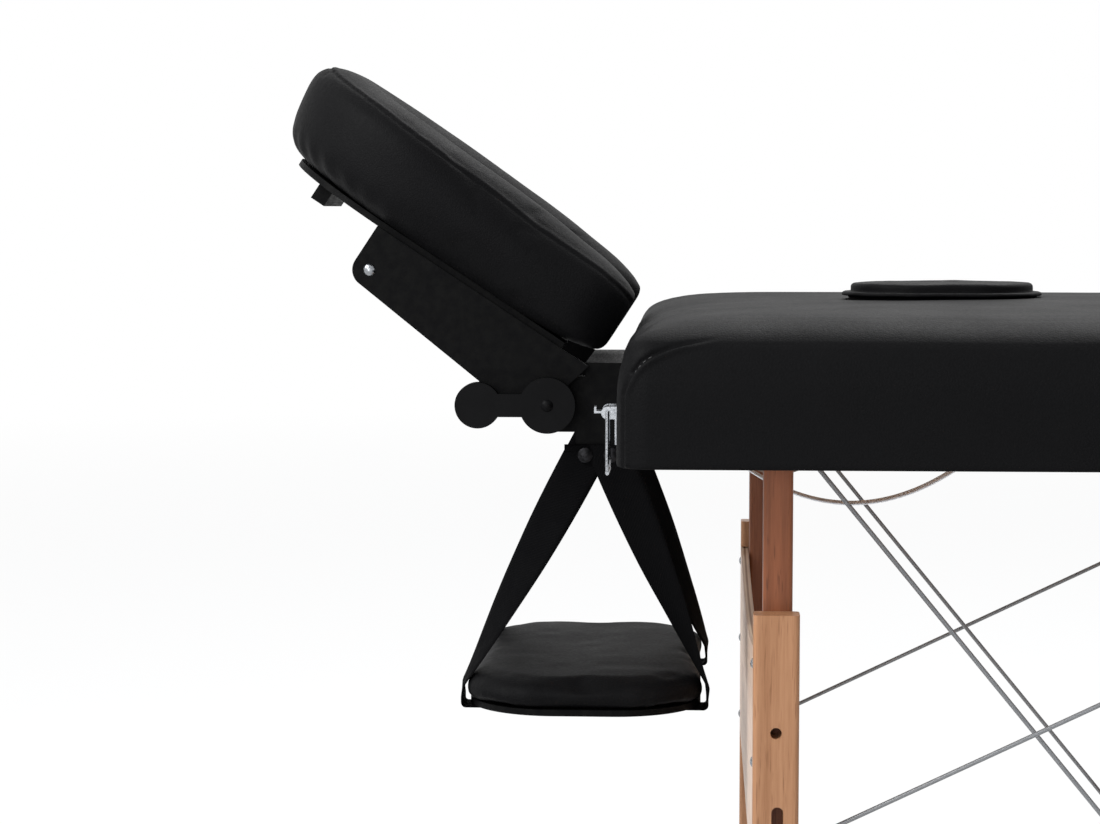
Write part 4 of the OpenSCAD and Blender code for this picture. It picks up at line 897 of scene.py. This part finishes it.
# The plug: rings of a section round the hole's outline, with a slow swell on its top
def buildPlug():
    columns, top, edge = plugFacts["columns"], plugFacts["top"], plugFacts["edge"]
    # each row is how far it stands out from the hole's rim, and its height
    rows = [(-60.0, 650.2), (-6.0, 650.2), (-2.2, 650.8), (-0.7, 653.0)]
    rows += [(-0.7, z) for z in (664, 676, 688, 699, 703)]
    rows += [(1.0, 704.3), (3.4, 704.35), (4.6, 704.7), (5.0, 705.4), (4.9, 706.3), (4.2, 707.2), (2.6, 707.8),
             (0.2, 707.6), (-1.4, 707.2), (-2.2, 707.5), (-2.4, 709.0), (-2.4, 710.6)]
    rows += [(-2.4 - edge * (1 - math.cos(a)), 711.4 + (top - 1.2 - 711.4) * math.sin(a))
             for a in np.radians([12, 24, 36, 48, 60, 72, 84, 90])]
    rows += [(-12, top - 0.8), (-20, top - 0.4), (-30, top - 0.1), (-42, top), (-52, top), (-57.0, top)]
    rings = [np.column_stack([stadium(grow, columns), np.full(columns, z)]) for grow, z in rows]
    points = np.concatenate(rings)
    n = len(rings)
    faces = [gridFaces(n, columns)]
    # the flat ends are zipped across their narrow middle
    i = np.arange(columns // 2 - 1)
    seamed = np.stack([i, i + 1, columns - 2 - i, columns - 1 - i], -1) - columns // 4
    faces.append(np.concatenate([seamed % columns, seamed % columns + (n - 1) * columns]))
    height = points[:, 2]
    points[:, 2] += 0.5 * swell(points, 30.0, 21) * (height > 708) + 0.25 * swell(points, 11.0, 22) * (height > 703.9)
    piece = makeMesh("facePlugPad", atLeaf("head", points), faces, looks["leather"], "face_plug")
    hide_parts("face_plug")


buildPlug()


padFacts = dict(long=330.0, wide=280.0, tube=92.0, low=49.3, horn=73.0, tip=88.0, back=15.0, soft=0.62,
                rings=150, sides=72, lean=7.0, slim=2.2, cap=5.0, pressure=4.0, seamAt=10,
                swell=0.7, fold=0.7, pleats=38, welt=0.7, groove=0.8, voxel=4.5)


# A circle's cosine and sine, each raised to a power that squares its corners
def squircle(angle, power):
    c, s = np.cos(angle), np.sin(angle)
    return np.sign(c) * np.abs(c) ** power, np.sign(s) * np.abs(s) ** power


# Middle, side direction and width share of each ring: horn and arm, half turn, then arm and horn mirrored
def padCourse():
    f = padFacts
    lane = f["wide"] / 2 - f["tube"] / 2
    start, stop = -f["back"] + f["tube"] / 2, f["long"] - f["back"] - f["wide"] / 2
    horn = np.radians(np.linspace(9, 90, 16))
    rows = [(start - f["tube"] / 2 * math.cos(a), -lane, 0.0, -1.0, math.sin(a)) for a in horn]
    rows += [(start + (stop - start) * s, -lane, 0.0, -1.0, 1.0) for s in np.linspace(0, 1, 22)[1:]]
    turn = np.radians(np.linspace(0, 180, f["rings"] - 2 * len(rows))[1:-1])
    tip = [(stop + lane * math.sin(a), -lane * math.cos(a), math.sin(a), -math.cos(a), 1.0) for a in turn]
    return np.concatenate([rows, tip, np.array(rows)[::-1] * np.array([1, -1, 1, -1, 1])])


# The pad: a squared circle swept along its course, blown up as cloth, then pleated and welted
def buildRestPad():
    f = padFacts
    course = padCourse()
    angle = np.arange(f["sides"]) * 2 * math.pi / f["sides"]
    across, up = squircle(angle, f["soft"])
    reach = (course[:, 0] + f["back"]) / f["long"]
    tall = f["horn"] + (f["tip"] - f["horn"]) * reach
    half = f["tube"] / 2 * course[:, 4]
    lift = tall / 2 * (f["soft"] + (1 - f["soft"]) * course[:, 4])
    # the tip's face leans out, so its top reaches further than its foot
    shear = f["lean"] * np.clip(course[:, 2], 0, 1)[:, None] * (0.35 + up[None])
    x = -(course[:, 0, None] + course[:, 2, None] * half[:, None] * across[None]
          + shear * (across[None] > 0) * across[None] ** 2)
    y = course[:, 1, None] + course[:, 3, None] * half[:, None] * across[None]
    z = f["low"] + tall[:, None] / 2 + lift[:, None] * up[None]
    points = np.stack([x, y, z], -1).reshape(-1, 3)
    rings, sides = len(course), f["sides"]
    points = np.concatenate([points, [points[:sides].mean(0), points[-sides:].mean(0)]])
    faces = hubbedFaces(rings, sides)
    seam = points[:rings * sides].reshape(rings, sides, 3)[:, f["seamAt"]]
    points = points - upNormals(points, faces) * f["slim"]
    points, quads = settle("restPadForm", points, faces, f["voxel"], f["cap"], f["pressure"])
    faces = [quads]
    normals = upNormals(points, faces)
    height = np.clip((points[:, 2] - f["low"]) / 80, 0, 1)
    move = f["swell"] * swell(points, 60.0, 31) + 0.35 * swell(points, 26.0, 32)
    # pleats gathered in at the lower edge, strongest round the tip
    tip = np.clip((-points[:, 0] - 150) / 120, 0, 1)
    bearing = np.arctan2(points[:, 1], -points[:, 0] - 150)
    pleat = np.sin(bearing * f["pleats"] + 2.0 * swell(points, 40.0, 33)) * np.exp(-((height - 0.14) / 0.12) ** 2)
    move += f["fold"] * pleat * (0.2 + 0.8 * tip)
    # the seam along the outer top edge: a soft welt with a fine groove under it
    path = onSurface(points, resample(seam, 1.5))
    gap, index = nearest(points, path, 9.0)
    side = np.sign(points[:, 2] - path[index][:, 2])
    move += f["welt"] * np.exp(-((gap * side - 1.5) / 2.2) ** 2)
    move -= f["groove"] * np.exp(-((gap * side + 1.4) / 1.5) ** 2)
    points = points + normals * move[:, None]
    points[:, 2] = np.maximum(points[:, 2], f["low"] - 0.2)
    piece = makeMesh("restPadCover", atTilt(points), faces, looks["leather"], "rest_cradle")
    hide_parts("rest_pad")


buildRestPad()


shelfFacts = dict(at=-32.0, long=196.0, wide=330.0, r=61.0, thick=20.0, top=400.0, edge=13.0, rise=1.5,
                  valley=2.6, swell=0.8, cap=4.0, pressure=2.0, columns=200, slim=(0.996, 0.99, 1.0), voxel=4.5)


# Even points round a rounded rectangle
def evenOutline(length, width, r, columns):
    r = min(r, length / 2 - 0.1, width / 2 - 0.1)
    straightX, straightY, arc = length - 2 * r, width - 2 * r, math.pi * r / 2
    s = np.arange(columns) / columns * (2 * straightX + 2 * straightY + 4 * arc)
    points = np.zeros((columns, 2))
    first = 0.0
    for c in range(4):
        inside = (s >= first) & (s < first + arc)
        points[inside] = cornerPoints(length, width, r, c, math.pi / 2 * c + (s[inside] - first) / r)
        first += arc
        run = straightX if c in (0, 2) else straightY
        inside = (s >= first) & (s < first + run)
        last = math.pi / 2 * (c + 1)
        step = np.array([-math.sin(last), math.cos(last)])
        points[inside] = cornerPoints(length, width, r, c, last) + step * (s[inside] - first)[:, None]
        first += run
    return points


# The arm pad: rings of a section round a rounded rectangle, blown up as cloth, with a valley pressed in
def buildShelfPad():
    f = shelfFacts
    columns, edge = f["columns"], f["edge"]
    low, high = f["top"] - f["thick"], f["top"]
    # each row is its inset from the outline, and its height
    rows = [(60, low + 0.1), (20, low + 0.1), (6, low + 0.15), (2.2, low + 0.6), (0.7, low + 1.8), (0.1, low + 3.6),
            (0.0, low + 5.6)]
    rows += [(edge * (1 - math.cos(a)), high - edge + edge * math.sin(a)) for a in np.radians(np.linspace(6, 84, 12))]
    rows += [(edge + g, high + f["rise"] * math.sin(g / 80 * math.pi / 2))
             for g in (0, 3, 7, 12, 18, 25, 33, 42, 52, 62, 72, 79)]
    rings = []
    for inset, z in rows:
        flat = evenOutline(f["long"] - 2 * inset, f["wide"] - 2 * inset, max(f["r"] - 0.62 * inset, 8.0), columns)
        rings.append(np.column_stack([flat, np.full(columns, z)]))
    points = np.concatenate(rings + [[[0, 0, low + 0.1]], [[0, 0, high + f["rise"]]]])
    points, faces = points * np.array(f["slim"]), hubbedFaces(len(rings), columns)
    points, quads = settle("shelfPadForm", points, faces, f["voxel"], f["cap"], f["pressure"])
    points[:, 2] = np.maximum(points[:, 2], low + 0.1)
    upper = np.clip((points[:, 2] - low - 6) / 12, 0, 1)
    # the valley that folded arms leave: a soft trough across the pad, deeper in its middle
    trough = np.exp(-((points[:, 0] - 0.12 * points[:, 1] + 12) / 26) ** 2) * np.exp(-(points[:, 1] / 150) ** 2)
    points[:, 2] -= f["valley"] * trough * upper
    points[:, 2] += (f["swell"] * swell(points, 48.0, 41) + 0.5 * swell(points, 19.0, 42)) * upper
    edge = np.exp(-((points[:, 2] - low - 9) / 7) ** 2)
    out = points[:, :2] / np.maximum(np.linalg.norm(points[:, :2], axis=1), 1)[:, None]
    points[:, :2] += out * ((0.8 * swell(points, 30.0, 43) + 0.4 * swell(points, 11.0, 44)) * edge)[:, None]
    points[:, 0] += f["at"]
    piece = makeMesh("shelfPadCover", atLeaf("head", points), [quads], looks["leather"], "arm_shelf")
    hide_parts("shelf_pad")


buildShelfPad()


# Four straps: flat at their screws, twisted a quarter turn on the way down, then wrapped under the shelf
strapFacts = dict(wide=34.0, thick=2.0, hangOut=32.0, rearOut=11.0, hang=578.0, laneTop=102.3, lane=102.0,
                  low=400.0 - 20 - 5 - 1 - 0.3, edge=99.3, twist=(0.05, 1.1), gather=1.2, steps=96, wrap=34.0)


def buildStraps():
    f = strapFacts
    top = f["hang"] + f["wide"] / 4
    drop = top - 400.0
    low, high = f["twist"]
    allPoints, allFaces, allCaps, allChart, first = [], [], [], [], 0
    for side in (-1, 1):
        for way in (-1, 1):
            apart = f["thick"] + 0.3 if way > 0 else 0.0
            start = f["hangOut"] - f["rearOut"] if way > 0 else 0.0
            hung = (top - f["hang"]) / drop
            share = np.linspace(0, high, f["steps"])
            ease = np.minimum(share, 1) ** 2 * (3 - 2 * np.minimum(share, 1))
            lean = np.clip((share - hung) / (1.05 - hung), 0, 1)
            x = start + (way * f["edge"] - start) * lean
            y = f["laneTop"] + (f["lane"] - f["laneTop"]) * ease + apart
            z = top - drop * share
            twist = np.radians(90) * np.clip((share - low) / (high - low), 0, 1) ** f["gather"]
            across = np.column_stack([np.cos(twist), np.sin(twist), np.zeros_like(twist)])
            # the wrap turns under the shelf's edge in a round of 3 mm and runs inward
            bend = np.radians(np.linspace(0, 90, 10))
            down = np.linspace(z[-1] - 0.8, f["low"] + 3.4, 3)
            inward = np.linspace(2, f["wrap"], 8)
            out = np.concatenate([np.full(3, f["edge"]), f["edge"] - 3 + 3 * np.cos(bend), f["edge"] - 3 - inward])
            rise = np.concatenate([down, f["low"] + 3 - 3 * np.sin(bend), np.full(8, f["low"])])
            wrap = np.column_stack([way * out, np.full(len(out), f["lane"] + apart), rise])
            middle = np.concatenate([np.column_stack([x, y, z]), wrap])
            across = np.concatenate([across, np.tile([[0.0, 1.0, 0.0]], (len(wrap), 1))])
            run = directions(middle)
            across -= run * np.einsum("ij,ij->i", across, run)[:, None]
            across /= np.linalg.norm(across, axis=1)[:, None]
            wave = 0.5 * swell(middle, 38.0, 51 + way + 5 * side)
            points, faces, chart = tapeAlong(middle, across, np.cross(across, run), f["wide"], f["thick"], wave, first)
            allPoints.append(points * np.array([1, side, 1]) - np.array([f["hangOut"], 0, 0]))
            allFaces.append(faces[0])
            allCaps.append(faces[1])
            allChart.append(chart)
            first += len(points)
    points, chart = np.concatenate(allPoints), np.concatenate(allChart)
    faces = [np.concatenate(allFaces), np.concatenate(allCaps)]
    piece = makeMesh("shelfStrapWebbing", atLeaf("head", points), faces, looks["blackWeb"], "arm_shelf", chart)
    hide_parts("shelf_straps")


buildStraps()


handleFacts = dict(at=465.0, long=190.0, out=24.0, thick=9.0, high=26.0, bow=0.5, steps=64, sides=28, mid=620.0,
                   soft=0.62, swell=0.3, swellSize=16.0)


# The handle: a squared circle swept along a bow, whose rise is the sine raised to a power
def buildHandle(end):
    f = handleFacts
    a = np.radians(np.linspace(1.5, 178.5, f["steps"]))
    bow = np.sin(a) ** f["bow"]
    along = np.radians(90) * np.cos(a)
    angle = -np.arange(f["sides"]) * 2 * math.pi / f["sides"]
    out, up = squircle(angle, f["soft"])
    x = f["long"] / 2 * np.cos(a)[:, None] + np.sin(along)[:, None] * f["thick"] / 2 * out[None]
    y = (f["out"] - f["thick"] / 2) * bow[:, None] + np.cos(along)[:, None] * f["thick"] / 2 * out[None]
    z = f["high"] / 2 * (0.45 + 0.55 * bow)[:, None] * up[None]
    points = np.stack([x, np.maximum(y, 0.0), z], -1).reshape(-1, 3)
    moved = [swell(points, f["swellSize"], 61), 0 * points[:, 0], swell(points, f["swellSize"], 62)]
    points += f["swell"] * np.stack(moved, -1) + np.array([f["at"], place["wide"] / 2 + 0.3, f["mid"]])
    faces = [gridFaces(f["steps"], f["sides"]), endCaps(f["steps"], f["sides"])]
    piece = makeMesh(end + "CarryHandle", atLeaf(end, points), faces, looks["leather"], end + "_leaf")
    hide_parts(end + "_handle")


for end in ("head", "foot"):
    buildHandle(end)


# The webbing tie's tape hangs in a shallow bow under the panel, between the ends of the CAD's piece
tieFacts = dict(wide=20.0, thick=2.0, sag=99.0, gap=0.3, steps=80)


def buildTie():
    f = tieFacts
    low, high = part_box("webbing_tie")
    share = np.linspace(0, 1, f["steps"])
    x = (low[0] + (high[0] - low[0]) * share) / mm - place["headEnd"]
    y = np.full(f["steps"], (low[1] + high[1]) / 2 / mm - place["midY"])
    z = place["panelUnder"] - f["thick"] / 2 - f["gap"] - 4 * f["sag"] * share * (1 - share)
    middle = np.column_stack([x, y, z])
    across = np.tile([[0.0, 1.0, 0.0]], (f["steps"], 1))
    points, faces, chart = tapeAlong(middle, across, np.cross(across, directions(middle)), f["wide"], f["thick"])
    piece = makeMesh("webbingTieTape", atLeaf("head", points), faces, looks["greyWeb"], "head_leaf", chart)
    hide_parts("webbing_tie")
    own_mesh(piece)


buildTie()


print("stage: light")
studio = dict(soft="#e9edf2", softPower=0.52, floor="#f0f0f0", nearWhite=0.86, whiteFrom=2.0, whiteTo=8.0)
white = {"Color": (1, 1, 1, 1), "Strength": 1.0}


# 1 where the camera sees a thing, straight, mirrored or through glass, and 0 where light only bounces off it
def seenBy(tree):
    ray = addNode(tree, "LightPath").outputs
    seen = addNode(tree, "Math", {"operation": "ADD"}, {0: ray["Is Camera Ray"], 1: ray["Is Glossy Ray"]})
    return addNode(tree, "Math", {"operation": "ADD"}, {0: seen, 1: ray["Is Transmission Ray"]})


floorMesh = bpy.data.meshes.new("floor")
floorMesh.from_pydata([(-9, -5, 0), (9, -5, 0), (9, 12, 0), (-9, 12, 0)], [], [(0, 1, 2, 3)])
floor = bpy.data.objects.new("floor", floorMesh)
scene.collection.objects.link(floor)
# seen by the camera the floor is mostly plain white, and a little of its own light keeps the table's shadow
material, tree, own = newMaterial("matt white studio floor")
matt = addNode(tree, "BsdfPrincipled", {"Base Color": linear(studio["floor"]), "Roughness": 0.9})
plain = addNode(tree, "Emission", white)
away = addNode(tree, "VectorMath", {"operation": "LENGTH"}, {0: own}).outputs[1]
share = addNode(tree, "MapRange", {1: studio["whiteFrom"], 2: studio["whiteTo"], 3: studio["nearWhite"], 4: 1.0},
                {0: away})
seen = addNode(tree, "Math", {"operation": "MULTIPLY"}, {0: seenBy(tree), 1: share})
both = addNode(tree, "MixShader", (), {0: seen, 1: matt, 2: plain})
addNode(tree, "OutputMaterial", (), {0: both})
floorMesh.materials.append(material)

# The world lights the table softly and shows itself plain white
world = bpy.data.worlds.new("studio")
scene.world = world
world.use_nodes = True
tree = world.node_tree
tree.nodes.clear()
soft = addNode(tree, "Background", {"Color": linear(studio["soft"]), "Strength": studio["softPower"]})
plain = addNode(tree, "Background", white)
both = addNode(tree, "MixShader", (), {0: seenBy(tree), 1: soft, 2: plain})
addNode(tree, "OutputWorld", (), {0: both})

# Three soft boxes: the key from the upper left, a broad fill from the front left and a lift from behind
lamps = {
    "keyBox": dict(at=(-3.0, -1.6, 2.9), to=(-0.5, 0.0, 0.6), wide=2.4, high=1.8, power=140.0),
    "fillBox": dict(at=(-1.9, -3.8, 1.2), to=(-0.6, 0.0, 0.5), wide=2.2, high=1.8, power=40.0),
    "topBox": dict(at=(0.6, 1.9, 3.2), to=(-0.2, 0.0, 0.7), wide=3.2, high=2.2, power=80.0),
}
for name, f in lamps.items():
    data = bpy.data.lights.new(name, "AREA")
    data.shape = "RECTANGLE"
    data.size, data.size_y, data.energy = f["wide"], f["high"], f["power"]
    lamp = bpy.data.objects.new(name, data)
    lamp.location = f["at"]
    aim = np.array(f["to"]) - np.array(f["at"])
    lamp.rotation_euler = (math.atan2(math.hypot(aim[0], aim[1]), -aim[2]), 0.0, math.atan2(-aim[0], aim[1]))
    scene.collection.objects.link(lamp)

scene.view_settings.view_transform = "Standard"
